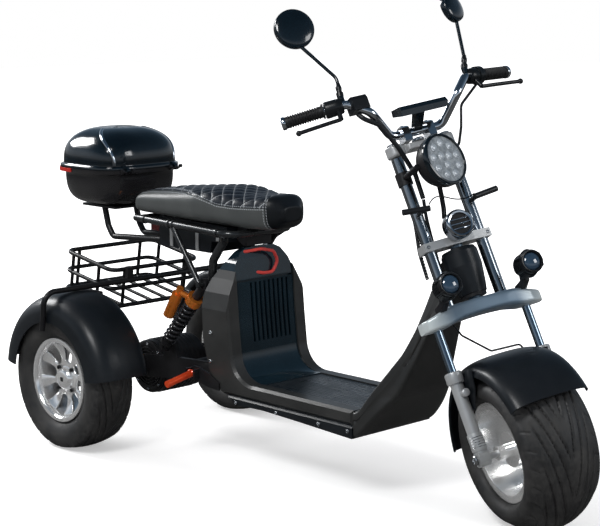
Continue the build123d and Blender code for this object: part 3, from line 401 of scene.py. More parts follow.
def arc_through(a, b, c, count):
    """Points from a to c, evenly spaced by angle, on the circle through a, b and c."""
    a, b, c = complex(*a), complex(*b), complex(*c)
    w = (c - a) / (b - a)
    middle = (b - a) * (w - abs(w) ** 2) / (2j * w.imag) + a
    turn_c = np.angle((c - middle) / (a - middle))
    turn_b = np.angle((b - middle) / (a - middle))
    if turn_b * turn_c < 0 or abs(turn_b) > abs(turn_c):
        turn_c -= np.sign(turn_c) * 2 * pi
    points = middle + (a - middle) * np.exp(1j * np.linspace(0.0, turn_c, count))
    return np.stack([points.real, points.imag], -1)


def tyre_grid(middle, axle, tyre_r, tyre_w, crown_r, tread_w, rim_r, rim_w, slots, grooves):
    """Closed section of (radius, across) turned round the axle. Each point sinks along the section's
    normal by the sum of: a bell over the distance to the nearest slanted groove (a whole number of
    distance across plus turn), a bell over the distance to the nearest slot on the shoulder, and fine
    rings on the sidewall."""
    bead, seat = rim_w / 2 - 0.0053, rim_r - 0.0137
    wall_points, crown_points = 22, 70
    shoulder = tyre_r - crown_r + sqrt(crown_r ** 2 - (tread_w / 2) ** 2)
    bulge = rim_r + 0.42 * (shoulder - rim_r)
    wall = arc_through((rim_r + 0.002, bead), (bulge, tyre_w / 2), (shoulder, tread_w / 2), wall_points)
    crown = arc_through((shoulder, tread_w / 2), (tyre_r, 0.0), (shoulder, -tread_w / 2), crown_points)
    section = np.concatenate([
        [[seat, -bead], [seat, bead]], wall, crown[1:-1], (wall * [1, -1])[::-1],
    ])
    run = run_along(section)
    middle_row = 2 + wall_points + crown_points // 2 - 1
    across = run - run[middle_row]
    after = np.roll(section, -1, 0) - np.roll(section, 1, 0)
    normal = np.stack([-after[:, 1], after[:, 0]], -1) / np.hypot(*after.T)[:, None]
    if normal[middle_row, 0] < 0:
        normal = -normal
    turn = np.linspace(0.0, 2 * pi, slots * 20, endpoint=False)
    t, a = across[:, None], turn[None, :]
    half = tread_w / 2
    tread = np.clip((half * 1.02 - abs(t)) / 0.002, 0.0, 1.0)
    depth = np.zeros((len(section), len(turn)))
    spacing, wraps = grooves
    line = abs(t) / half / spacing + wraps * a / (2 * pi)
    off = abs(line - np.round(line)) * spacing * half
    wide = np.clip((half * 0.9 - abs(t)) / 0.01, 0.0, 1.0) * np.clip((abs(t) - 0.003) / 0.004, 0.0, 1.0)
    depth = np.maximum(depth, 0.0052 * np.exp(-(off / 0.0023) ** 2) * tread * wide)
    reach = np.clip((abs(t) - half * 0.9) / 0.006, 0.0, 1.0) * np.clip((half * 1.22 - abs(t)) / 0.006, 0.0, 1.0)
    slant = a * slots + np.sign(t) * (abs(t) - half) * 70.0
    depth = np.maximum(depth, 0.0028 * np.exp(-(np.sin(slant / 2) / 0.11) ** 2) * reach)
    wall_run = np.clip((abs(t) - half * 1.42) / 0.004, 0.0, 1.0)
    depth += 0.0006 * (0.5 + 0.5 * np.cos(abs(t) * 2 * pi / 0.0075)) * wall_run
    depth[:3] = 0.0
    depth[-1:] = 0.0
    spot = section[:, None, :] - normal[:, None, :] * depth[:, :, None]
    axle = unit(axle)
    first = unit(np.cross(axle, (0.0, 0.0, 1.0)))
    second = np.cross(axle, first)
    ring = np.cos(turn)[:, None] * first + np.sin(turn)[:, None] * second
    grid = np.array(middle) + spot[:, :, :1] * ring[None] + spot[:, :, 1:] * axle
    return grid, True, True


tyre_rubber = Finish("tyre_rubber")
dust = tyre_rubber.clamp(tyre_rubber.noise(14.0, 5.0), 0.4, 0.72)
scuff = tyre_rubber.clamp(tyre_rubber.noise(95.0, 4.0), 0.45, 0.75)
tyre_rubber.feed(Base_Color=tyre_rubber.mix(dust * 0.5 + scuff * 0.35, (0.011, 0.011, 0.0115),
    (0.042, 0.04, 0.037)))
tyre_rubber.feed(Roughness=0.5 + scuff * 0.22 + dust * 0.1)
tyre_rubber.bump(tyre_rubber.noise(700.0, 2.0), 0.00012)

rear_tyre_r = 0.199
rear_sizes = dict(tyre_r=rear_tyre_r, tyre_w=0.138, crown_r=0.24, tread_w=0.118, rim_r=0.1193, rim_w=0.11)
rear_grooves = (0.36, 14)
rear_wheel_y = 0.316
sides = (("right", -1), ("left", 1))
for name, sign in sides:
    hub = (rear_x, sign * rear_wheel_y, rear_tyre_r)
    piece(
        f"rear_tyre_skin_{name}", [tyre_grid(hub, (0, 1, 0), slots=24, grooves=rear_grooves, **rear_sizes)],
        f"rear_wheel_{name}", tyre_rubber.material, (f"rear_tyre_{name}",), crisp=60.0,
    )

rake, steer = radians(26.9), radians(-22.9)
wheelbase, front_axle_z = 1.385, 0.208594
fork_o = np.array((rear_x + wheelbase, 0.0, front_axle_z))
fork_x = np.array((cos(rake) * cos(steer), sin(steer), sin(rake) * cos(steer)))
fork_z = np.array((-sin(rake), 0.0, cos(rake)))
fork_y = np.cross(fork_z, fork_x)


def at_fork(*spot):
    """Point of the fork's own frame (forward, left, up the steering axis) in metres."""
    return fork_o + fork_x * spot[0] + fork_y * spot[1] + fork_z * spot[2]


front_sizes = dict(tyre_r=0.21, tyre_w=0.196, crown_r=0.12, tread_w=0.168, rim_r=0.1235, rim_w=0.151)
front_grooves = (0.27, 13)
piece(
    "front_tyre_skin", [tyre_grid(fork_o, fork_y, slots=24, grooves=front_grooves, **front_sizes)],
    "front_wheel", tyre_rubber.material, ("front_tyre",), crisp=60.0,
)

# ================================================================ rear rims
# Cast alloy wheels, polished on the outside: a flat hub face runs out into eight spokes that dish
# outwards to the barrel, with tall round-headed windows between them and four lug nuts.
window_count = 8
spoke_in, window_from, spoke_out = 0.022, 0.047, 0.1022
face_flat = 0.027          # hub face, outboard of the wheel's middle plane


def spoke_grid(hub, sign, index, count, phase):
    """Rows run out along the radius; columns cross one spoke. The spoke fills its share of the turn
    less the window's half width over the radius, and its face dishes outwards towards the barrel."""
    radius = np.concatenate([
        np.linspace(spoke_in, window_from, 5)[:-1],
        window_from + np.linspace(0, 1, 26) ** 1.6 * (spoke_out - window_from),
    ])
    head = 0.0145
    past = np.clip(radius - window_from, 0.0, None)
    half = np.where(past < head, np.sqrt(np.clip(head ** 2 - (head - past) ** 2, 0.0, None)),
        head + (past - head) * 0.16)
    half = np.where(radius <= window_from, 0.0, half)
    share = np.linspace(-1.0, 1.0, 15)
    middle = phase + 2 * pi * index / count
    turn = middle + share[None, :] * (pi / count - (half / radius)[:, None])
    rise = np.clip((radius - 0.062) / 0.04, 0.0, 1.0) ** 2 * 0.014
    crown = (1 - share[None, :] ** 2) * 0.0022 * np.clip((radius[:, None] - window_from) / 0.01, 0.0, 1.0)
    out = face_flat + rise[:, None] + crown
    grid = np.stack([radius[:, None] * np.cos(turn), sign * out, radius[:, None] * np.sin(turn)], -1)
    return grid + np.array(hub), False, False


barrel_profile = (
    (-0.055, 0.1193), (-0.0565, 0.1175), (-0.0562, 0.1045), (-0.052, 0.1022), (0.046, 0.1022), (0.0525, 0.104),
    (0.0572, 0.1085), (0.0578, 0.1145), (0.0568, 0.119), (0.055, 0.1196), (0.0505, 0.1193), (0.0495, 0.1056),
    (-0.0495, 0.1056), (-0.0505, 0.1193),
)
boss_profile = (
    (-0.06, 0.0105), (-0.06, 0.03), (0.02, 0.03), (0.0275, 0.036), (0.0285, 0.0335), (0.034, 0.0305),
    (0.04, 0.027), (0.0425, 0.023), (0.0432, 0.0095), (0.0432, 0.0), (0.033, 0.0),
)
polished = Finish("polished_alloy_wheel")
streak = polished.noise(60.0, 5.0)
cloud = polished.clamp(polished.noise(12.0, 3.0), 0.35, 0.7)
polished.feed(Base_Color=polished.mix(cloud, (0.84, 0.84, 0.84), (0.96, 0.96, 0.95)))
polished.feed(Roughness=0.1 + streak * 0.14 + cloud * 0.05)
polished.fix(Metallic=0.8)
polished.bump(polished.noise(220.0, 3.0), 0.00004)
for name, sign in sides:
    hub = np.array((rear_x, sign * rear_wheel_y, rear_tyre_r))
    spokes = [spoke_grid(hub, sign, index, window_count, 0.2) for index in range(window_count)]
    face = piece(f"rim_face_{name}", spokes, f"rear_wheel_{name}", polished.material,
        (f"rear_rim_{name}",))
    thick = face.modifiers.new("wall", "SOLIDIFY")
    thick.thickness = 0.009
    thick.offset = -1.0
    flat = np.zeros(len(face.data.polygons) * 3)
    face.data.polygons.foreach_get("normal", flat)
    if flat.reshape(-1, 3)[:, 1].mean() * sign < 0:
        face.data.flip_normals()
    barrel = [(a * sign, r) for a, r in barrel_profile]
    boss = [(a * sign, r) for a, r in boss_profile]
    piece(
        f"rim_barrel_{name}", [turned(barrel, hub, (0, 1, 0), 96, True), turned(boss, hub, (0, 1, 0), 64)],
        f"rear_wheel_{name}", polished.material,
    )
    nuts = []
    for turn in np.arange(4) * pi / 2 + pi / 4:
        spot = hub + np.array((0.041 * cos(turn), sign * face_flat, 0.041 * sin(turn)))
        nut = ((-0.001, 0.0), (-0.001, 0.0062), (0.0065, 0.0062), (0.0078, 0.005), (0.0078, 0.0028),
            (0.004, 0.0026), (0.004, 0.0))
        nuts.append(turned(nut, spot, (0, sign, 0), 6))
    square = ((0.0437, 0.0), (0.0437, 0.0085), (0.0425, 0.0085), (0.0425, 0.0))
    nuts.append(turned(square, hub, (0, sign, 0), 4, first=(1.0, 0.0, 1.0)))
    piece(f"lug_nuts_{name}", nuts, f"rear_wheel_{name}", powder_black, crisp=20.0)

# ================================================================ front rim
# The front wheel is a deep bare alloy barrel, cast in one with its web, and a rolled lip is
# turned on each edge.
lip = ((-0.003, 0.1235), (0.0, 0.125), (0.0025, 0.1236), (0.0028, 0.115), (0.0015, 0.1075), (-0.003, 0.1055),
    (-0.005, 0.1235))
piece(
    "front_rim_lips",
    [turned([(sign * (a + 0.0755), r) for a, r in lip], fork_o, fork_y, 96, True) for name, sign in sides],
    "front_wheel", polished.material,
)
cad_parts["front_rim"].material_slots[0].material = polished.material

# ================================================================ shocks
# A coil of black spring steel wire is wound round each damper, between the discs near its lower
# eye and the orange collar above.


def along_path(path, radius, sides_round=10, closed=False):
    """A ring of the radius carried along the path, square to it; the ring is the sum of two
    directions square to the path, the first taken from a fixed one."""
    path = np.array(path, float)
    ahead = np.gradient(path, axis=0) if not closed else np.roll(path, -1, 0) - np.roll(path, 1, 0)
    ahead /= np.linalg.norm(ahead, axis=1)[:, None]
    fixed = np.array((0.183, 0.411, 0.893)) if abs(ahead[:, 2]).mean() < 0.8 else np.array((0.893, 0.411, 0.183))
    one = np.cross(ahead, fixed)
    one /= np.linalg.norm(one, axis=1)[:, None]
    two = np.cross(ahead, one)
    turn = np.linspace(0.0, 2 * pi, sides_round, endpoint=False)
    size = np.broadcast_to(np.asarray(radius, float), (len(path),))[:, None, None]
    grid = path[:, None] + size * (np.cos(turn)[:, None] * one[:, None] + np.sin(turn)[:, None] * two[:, None])
    if not closed:
        grid = np.concatenate([np.repeat(path[:1, None], sides_round, 1), grid,
            np.repeat(path[-1:, None], sides_round, 1)])
    return grid, True, closed


shock_low = np.array((rear_x + 0.158, 0.0, 0.282))
shock_up = unit((0.18, 0.0, 0.2))
shock_aside = np.cross((0.0, 1.0, 0.0), shock_up)
coil_turns, coil_r, wire_r = 9.0, 0.0178, 0.0036
coils = []
for name, sign in sides:
    share = np.linspace(0.0, 1.0, 420)
    turn = 2 * pi * coil_turns * share
    climb = 0.0295 + share * (0.190 - 0.0295 - 0.0037)
    path = (
        shock_low + np.array((0.0, sign * 0.112, 0.0)) + climb[:, None] * shock_up
        + coil_r * (np.cos(turn)[:, None] * shock_aside + np.sin(turn)[:, None] * np.array((0.0, 1.0, 0.0)))
    )
    coils.append(along_path(path, wire_r, 10))
spring_steel = moulded("spring_steel", (0.012, 0.012, 0.014), (0.03, 0.03, 0.034), (0.16, 0.3), coat=0.8)
piece("coil_springs", coils, "chassis", spring_steel, ("shock_springs",))

# ================================================================ seat
# A long foam seat in synthetic leather: smooth grey sides, a dark top quilted in diamonds with pale
# thread, a twin-stitched seam along each side, and a plain dark cap over the nose.
seat_low = np.array(((0.034, 0.6521), (0.45, 0.6405), (0.52, 0.641), (0.55, 0.6455), (0.566, 0.656),
    (0.576, 0.674)))
seat_high = np.array((
    (0.034, 0.7135), (0.07, 0.724), (0.18, 0.734), (0.29, 0.7445), (0.34, 0.7475), (0.38, 0.7445), (0.43, 0.7355),
    (0.48, 0.734), (0.52, 0.7375), (0.545, 0.738), (0.562, 0.7275), (0.576, 0.702),
))
seat_half = np.array((
    (0.034, 0.122), (0.2, 0.1242), (0.3, 0.1225), (0.4, 0.107), (0.47, 0.094), (0.52, 0.0815), (0.545, 0.069),
    (0.562, 0.052), (0.576, 0.030),
))
seam_line = np.array((
    (0.03, 0.712), (0.095, 0.721), (0.185, 0.728), (0.25, 0.73), (0.304, 0.725), (0.346, 0.716), (0.385, 0.706),
    (0.432, 0.703), (0.49, 0.704), (0.60, 0.709),
))
quilt_pitch = 0.043
seat_square = 3.4


def soften(values, reach):
    """Running mean over `reach` rows on each side, with the ends held."""
    padded = np.concatenate([np.repeat(values[:1], reach), values, np.repeat(values[-1:], reach)])
    return np.convolve(padded, np.ones(2 * reach + 1) / (2 * reach + 1), "valid")


def seat_grid(rows=260, cols=300):
    """Superellipse sections along the seat, spaced evenly round their girth. The rear end rounds in by
    a quarter circle, a crown swells the top, stitch lines sink between diamonds that puff up by a
    sine product, and the side seam is a narrow trough."""
    x = np.linspace(0.034, 0.576, rows)
    low = soften(np.interp(x, *seat_low.T), 6)
    high = soften(np.interp(x, *seat_high.T), 7)
    half = soften(np.interp(x, *seat_half.T), 4)
    rear = 0.026
    inset = rear - np.sqrt(np.clip(rear ** 2 - np.clip(rear - (x - 0.034), 0.0, None) ** 2, 0.0, None))
    half, high, low = half - inset, high - inset * 0.8, low + inset * 0.3
    middle = low + 0.46 * (high - low)
    v = np.linspace(0.0, 2 * pi, 4001)
    across, upward = superellipse(v, seat_square)
    girth = run_along(np.stack([across * 0.11, upward * 0.045], -1))
    even = np.interp(np.linspace(0.0, girth[-1], cols, endpoint=False), girth, v)
    across, upward = superellipse(even, seat_square)
    rise = np.where(upward > 0, (high - middle)[:, None] * upward, (middle - low)[:, None] * upward)
    y = half[:, None] * across
    z = middle[:, None] + rise
    side_bulge = 1 - 0.05 * np.clip(-upward, 0.0, 1.0) ** 2
    y = y * side_bulge
    xx = np.broadcast_to(x[:, None], y.shape)
    seam = np.interp(x, *seam_line.T)[:, None]
    nose = nose_edge(y, z)
    top = np.clip((z - seam) / 0.006, 0.0, 1.0) * np.clip((nose - xx) / 0.004, 0.0, 1.0) * (upward > 0)
    one = (xx + y) / quilt_pitch
    two = (xx - y) / quilt_pitch
    puff = abs(np.sin(pi * one) * np.sin(pi * two)) ** 0.6
    stitch = np.maximum(np.exp(-((one - np.round(one)) / 0.045) ** 2),
        np.exp(-((two - np.round(two)) / 0.045) ** 2))
    z = z + top * (0.0026 * puff - 0.0026 - 0.0012 * stitch)
    trough = np.exp(-((z - seam) / 0.0016) ** 2) * (upward > -0.2) * (xx < nose)
    trough = np.maximum(trough, np.exp(-((xx - nose) / 0.0016) ** 2))
    y = y - np.sign(y) * 0.0016 * trough
    z = z - 0.0010 * trough * (upward > 0)
    grid = np.stack([xx + rear_x, y, z], -1)
    caps = []
    for row in (grid[0], grid[-1]):
        centre = row.mean(0)
        caps.append([centre + (row - centre) * share for share in (0.0, 0.25, 0.5, 0.75)])
    return np.concatenate([np.array(caps[0]), grid, np.array(caps[1])[::-1]])


def nose_edge(y, z):
    """How far forward the nose cap's seam lies: further at the sides and lower down."""
    return 0.522 + 0.2 * abs(y) + 0.08 * (0.74 - z)


leather = Finish("seat_leather")
seat_x, seat_y, seat_z = leather.parts(leather.place())
ahead = seat_x - rear_x
seam_stops = tuple(((x - 0.03) / 0.57, ((z - 0.69) / 0.06,) * 3) for x, z in seam_line)
seam_z = leather.node("ShaderNodeValToRGB", {"stops": seam_stops}, {0: (ahead - 0.03) / 0.57}) * 0.06 + 0.69
nose_x = 0.522 + 0.2 * seat_y.call("ABSOLUTE") + 0.08 * (0.74 - seat_z)
above = leather.clamp(seat_z - seam_z, -0.0006, 0.0006)
in_front = leather.clamp(ahead - nose_x, -0.0006, 0.0006)
quilted = above * (1.0 - in_front)


def near_line(value, width):
    """1 on whole numbers of the value, 0 further than `width` from them."""
    off = (value - value.call("ROUND")).call("ABSOLUTE")
    return 1.0 - leather.clamp(off, width * 0.5, width)


thread = near_line((ahead + seat_y) / quilt_pitch, 0.03).call("MAXIMUM",
    near_line((ahead - seat_y) / quilt_pitch, 0.03))
thread = thread * quilted
dash = ((ahead + seat_z) * 900.0).call("SINE") > -0.55
seam_gap = (seat_z - seam_z).call("ABSOLUTE")
nose_gap = (ahead - nose_x).call("ABSOLUTE")
twin = 1.0 - leather.clamp((seam_gap - 0.0034).call("ABSOLUTE"), 0.0006, 0.0011)
nose_twin = 1.0 - leather.clamp((nose_gap - 0.004).call("ABSOLUTE"), 0.0006, 0.0011)
seams = (twin * (1.0 - in_front)).call("MAXIMUM", nose_twin) * dash
grain_cells = leather.node("ShaderNodeTexVoronoi", {"feature": "F1"}, {"Vector": leather.place(), "Scale": 620.0})
soft = leather.noise(16.0, 3.0)
sides_tone = leather.mix(soft, (0.036, 0.040, 0.0405), (0.06, 0.0645, 0.064))
top_tone = leather.mix(soft, (0.004, 0.006, 0.010), (0.009, 0.012, 0.018))
nose_tone = leather.mix(soft, (0.001, 0.002, 0.0035), (0.003, 0.0042, 0.006))
tone = leather.mix(in_front, leather.mix(above, sides_tone, top_tone), nose_tone)
tone = leather.mix(thread.call("MAXIMUM", seams), tone, (0.22, 0.235, 0.25))
leather.feed(Base_Color=tone)
leather.fix(Specular_IOR_Level=0.35)
leather.feed(Roughness=0.36 + soft * 0.1 + thread * 0.2 - quilted * 0.04)
leather.bump(grain_cells * 0.5 + leather.noise(260.0, 3.0) * 0.5, 0.00022)
seat_pad = piece("seat_pad", [(seat_grid(), True, False)], "chassis", leather.material,
    ("seat",), crisp=70.0)

# ================================================================ top case
# A moulded case in two shells: a glossy domed lid with a bright inlaid strip on each side, and a
# tub below it. A rolled rim closes each, and pinned knuckles hinge them together in front.
case_x = rear_x - 0.178
case_l, case_w, rim_z = 0.300, 0.310, 0.768
case_wall, case_cols = 0.003, 128


def case_grid(rows, cols=case_cols):
    """Superellipse rings, one for each row (height, how much smaller than the rim); the inner skin is
    the same rings drawn in by the wall and walked back, so the shell is closed at its edge."""
    rows = np.array(rows, float)
    turn = np.linspace(0.0, 2 * pi, cols, endpoint=False)
    cx, cy = superellipse(turn, 3.3)

    def skin(less, closing):
        a = np.clip((case_l - rows[:, 1]) / 2 - less, 0.0, None)[:, None]
        b = np.clip((case_w - rows[:, 1]) / 2 - less, 0.0, None)[:, None]
        lift = less * closing
        return np.stack([case_x + a * cx, b * cy, np.broadcast_to(rows[:, :1] + lift, (len(rows), cols))], -1)

    return skin


def shell_rows(skin, closing, last):
    """Outer rings, then the inner ones back to the edge, each skin closed on its own pole."""
    outer, inner = skin(0.0, 0.0), skin(case_wall, closing)
    inner[:last, :, 2] -= case_wall * closing
    pole_out = np.repeat(outer[-1:].mean(1, keepdims=True), outer.shape[1], 1)
    pole_in = np.repeat(inner[-1:].mean(1, keepdims=True), inner.shape[1], 1)
    return np.concatenate([pole_in, inner[::-1], outer, pole_out]), True, False


def plate(outline, way, thick):
    """A flat plate: its outline (points in space) moved along `way`, edges slightly rounded, and both
    faces closed on the outline's middle."""
    ring = np.array(outline, float)
    middle = ring.mean(0)
    way = unit(way) * thick
    shrink = middle + (ring - middle) * 0.97
    rows = [np.broadcast_to(middle, ring.shape), shrink, ring + way * 0.15, ring + way * 0.85, shrink + way,
            np.broadcast_to(middle + way, ring.shape)]
    return np.array(rows), True, False


hinge_x = rear_x - 0.023


def hinge_barrel(y_from, y_to):
    """A round knuckle on the hinge's axis, from one y to the other."""
    return along_path([(hinge_x, y, rim_z) for y in (y_from, (y_from + y_to) / 2, y_to)], 0.005, 16)


lid_rim_rows, tub_rim_rows = 6, 5
lid_share = np.linspace(0.0, 1.0, 26) ** 0.8
dome = [(rim_z + 0.0135 + 0.1043 * s, min(0.017 + 0.293 * (1 - (1 - s ** 2.6) ** 0.385), 0.3)) for s in lid_share]
lid_rows = [
    (rim_z + 0.0006, 0.0), (rim_z + 0.0062, 0.0), (rim_z + 0.0082, 0.002), (rim_z + 0.009, 0.006),
    (rim_z + 0.0092, 0.013), (rim_z + 0.0105, 0.0165)
] + dome
lid_skin = case_grid(lid_rows)
hinge_shells = []
for y in (-0.089, 0.089):
    hinge_shells.append(hinge_barrel(y - 0.006, y + 0.006))
for y in (-0.089, 0.089):
    tongue = [(rear_x + x, y - 0.006, z) for x, z in ((-0.046, 0.770), (-0.046, 0.781), (-0.034, 0.781),
        (-0.020, 0.7725), (-0.019, 0.769), (-0.022, 0.7688))]
    hinge_shells.append(plate(tongue, (0, 1, 0), 0.012))
piece("case_lid_shell", [shell_rows(lid_skin, -1.0, lid_rim_rows), *hinge_shells], "case_lid",
    gloss_black, ("case_lid",), crisp=50.0)
strip_lines, strip_s = [], np.linspace(0.0, 0.93, 40)
lid_outer = lid_skin(0.0, 0.0)
for name, sign in sides:
    row = lid_rim_rows + np.interp(strip_s, lid_share, np.arange(len(lid_share)))
    column = (-sign * (radians(40) + radians(52) * strip_s ** 2.2)) / (2 * pi) * case_cols % case_cols
    low_row, low_col = np.floor(row).astype(int), np.floor(column).astype(int)
    r, c = (row - low_row)[:, None], (column - low_col)[:, None]
    near_row, far_row = lid_outer[low_row], lid_outer[np.minimum(low_row + 1, len(lid_outer) - 1)]
    pick = np.arange(len(row))
    spots = (near_row[pick, low_col % case_cols] * (1 - c) + near_row[pick,
        (low_col + 1) % case_cols] * c) * (1 - r)
    spots += (far_row[pick, low_col % case_cols] * (1 - c) + far_row[pick, (low_col + 1) % case_cols] * c) * r
    outward = spots - (case_x, 0.0, 0.78)
    spots -= 0.0022 * outward / np.linalg.norm(outward, axis=1)[:, None]
    strip_lines.append(along_path(spots, 0.0056, 10))
piece("case_strips", strip_lines, "case_lid", chrome)
tub = [
    (0.755 - 0.1 * np.sin(s * pi / 2), 0.026 + 0.30 * (1 - np.sqrt(max(0.0, 1 - s ** 2.6))))
    for s in np.linspace(0.02, 0.93, 18)
]
tub_rows = [(rim_z - 0.0004, 0.0), (rim_z - 0.009, 0.0), (rim_z - 0.012, 0.002), (rim_z - 0.013, 0.008),
    (rim_z - 0.0135, 0.022)] + tub
tub_rows = [(max(z, 0.6552), small) for z, small in tub_rows]
tub_skin = case_grid(tub_rows)
tub_black = moulded("case_tub_plastic", (0.008, 0.008, 0.009), (0.014, 0.014, 0.015), (0.16, 0.28), grain=420.0,
    coat=0.5)
hinge_shells = []
for y in (-0.104, -0.074, 0.074, 0.104):
    a, b = (0.0, 0.0076) if y in (-0.074, 0.104) else (-0.0076, 0.0)
    hinge_shells.append(hinge_barrel(y + a, y + b))
for y in (-0.104, -0.0816, 0.074, 0.0964):
    tongue = [(rear_x + x, y, z) for x, z in ((-0.046, 0.756), (-0.046, 0.7665), (-0.022, 0.7665),
        (-0.0185, 0.766), (-0.019, 0.763), (-0.032, 0.756))]
    hinge_shells.append(plate(tongue, (0, 1, 0), 0.0076))
piece("case_tub_shell", [shell_rows(tub_skin, 1.0, tub_rim_rows), *hinge_shells], "chassis",
    tub_black, ("case_base",), crisp=50.0)

# ================================================================ headlamp
# Round lamp: twelve small glass lenses stand on a faceted grey reflector, in a spun black bucket
# that a glossy black bezel ring closes.
lamp_turn = radians(22)
lamp_ahead = fork_x * cos(lamp_turn) + fork_y * sin(lamp_turn)
lamp_left = np.cross(fork_z, lamp_ahead)
lamp_middle = at_fork(0.110, 0.0, 0.702)
bezel = ((-0.012, 0.0655), (-0.002, 0.0662), (0.002, 0.0645), (0.003, 0.0615), (0.0015, 0.0588),
    (-0.002, 0.0585), (-0.002, 0.0645))
bucket = (
    (-0.006, 0.0), (-0.006, 0.0588), (-0.0006, 0.0588), (-0.0006, 0.0648), (-0.018, 0.0648), (-0.030, 0.0632),
    (-0.042, 0.0582), (-0.054, 0.0498), (-0.065, 0.037), (-0.072, 0.024), (-0.0755, 0.012), (-0.0758, 0.0)
)
piece("headlamp_bucket", [turned(bucket, lamp_middle, lamp_ahead, 96)], "steering", powder_black,
    ("headlamp",))
piece("headlamp_bezel", [turned(bezel, lamp_middle, lamp_ahead, 96, True)], "steering", gloss_black)
reflector = Finish("lamp_reflector")
facets = reflector.node("ShaderNodeTexVoronoi", {"feature": "F1"}, {"Vector": reflector.place(), "Scale": 70.0})
# Each facet is painted darker in its hollow middle and paler towards its ridges: painted shade in the hollows over
# the reflector's own grey.
reflector.feed(Base_Color=reflector.mix(facets, (0.2, 0.22, 0.235), (0.36, 0.385, 0.40)))
reflector.feed(Roughness=0.16 + facets * 0.2)
reflector.fix(Metallic=0.35, Coat_Weight=1.0, Coat_Roughness=0.03)
reflector.bump(facets, 0.0015)
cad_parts["headlamp_lens"].material_slots[0].material = reflector.material
lens_glass = Finish("small_lens_glass")
glow = lens_glass.noise(40.0, 2.0)
lens_glass.feed(Base_Color=lens_glass.mix(glow, (0.22, 0.25, 0.28), (0.42, 0.46, 0.5)))
lens_glass.feed(Roughness=0.03 + glow * 0.06)
lens_glass.fix(Metallic=0.1, Coat_Weight=1.0, Coat_Roughness=0.02)
lens_profile = ((-0.002, 0.0098), (0.0006, 0.0098), (0.0009, 0.0088), (0.0, 0.0082), (0.0018, 0.0068),
    (0.0031, 0.004), (0.0036, 0.0))
lenses = []
for count, ring_r, phase in ((3, 0.0155, 0.5), (9, 0.0415, 0.2)):
    for index in range(count):
        turn = phase + 2 * pi * index / count
        spot = lamp_middle + ring_r * (cos(turn) * lamp_left + sin(turn) * fork_z) - 0.0006 * lamp_ahead
        lenses.append(turned(lens_profile, spot, lamp_ahead, 28))
piece("headlamp_lenses", lenses, "steering", lens_glass.material, crisp=25.0)

# ================================================================ horn
# Disc horn under the headlamp: a chromed shell with a rolled front ring and a black mesh face behind
# three bright slats.
horn_middle = at_fork(0.062, 0.0, 0.549)
shell = (
    (-0.028, 0.0), (-0.028, 0.028), (-0.02, 0.034), (-0.012, 0.0362), (-0.003, 0.0364), (0.003, 0.0345),
    (0.0055, 0.031), (0.0045, 0.0272), (0.001, 0.0255), (-0.0005, 0.0255), (-0.0005, 0.0)
)
piece("horn_shell", [turned(shell, horn_middle, fork_x, 80)], "steering", chrome)
mesh_black = moulded("horn_mesh", (0.004, 0.004, 0.005), (0.012, 0.012, 0.013), (0.5, 0.7), grain=900.0,
    grain_depth=0.0004)
disc = ((-0.0004, 0.0253), (0.0006, 0.0253), (0.0010, 0.0))
piece("horn_face", [turned(disc, horn_middle, fork_x, 48)], "steering", mesh_black)
slats = []
for height in (-0.0115, 0.0, 0.0115):
    reach = sqrt(0.0253 ** 2 - height ** 2)
    y = np.linspace(-reach, reach, 9)
    path = horn_middle + 0.0022 * fork_x + y[:, None] * fork_y + height * fork_z
    slats.append(along_path(path, 0.0012, 8))
piece("horn_slats", slats, "steering", chrome)

# ================================================================ spotlights
# Two small projector lamps: four cooling fins ring each black housing, and a hood holds the
# blue-coated glass dome in front.
spot_blue = Finish("spot_lens")
tint = spot_blue.noise(30.0, 2.0)
spot_blue.feed(Base_Color=spot_blue.mix(tint, (0.01, 0.02, 0.035), (0.03, 0.06, 0.1)))
spot_blue.feed(Roughness=0.03 + tint * 0.05)
spot_blue.fix(Coat_Weight=1.0, Coat_Roughness=0.02)
rings, domes = [], []
for name, sign in sides:
    middle = at_fork(0.128, sign * 0.111, 0.402)
    hood = ((-0.006, 0.0284), (0.0, 0.0292), (0.005, 0.0288), (0.0075, 0.0272), (0.0072, 0.0248),
        (0.003, 0.0232), (-0.001, 0.0228))
    rings.append(turned(hood, middle, fork_x, 64, True))
    for back in (-0.016, -0.024, -0.032, -0.040):
        fin = ((back - 0.0018, 0.0278), (back - 0.0015, 0.0302), (back + 0.0015, 0.0302), (back + 0.0018, 0.0278))
        rings.append(turned(fin, middle, fork_x, 48, True))
    glass = ((-0.001, 0.023), (0.0012, 0.0225), (0.005, 0.019), (0.0083, 0.012), (0.0095, 0.0))
    domes.append(turned(glass, middle, fork_x, 48))
piece("spotlight_hoods", rings, "steering", small_black)
piece("spotlight_glass", domes, "steering", spot_blue.material)

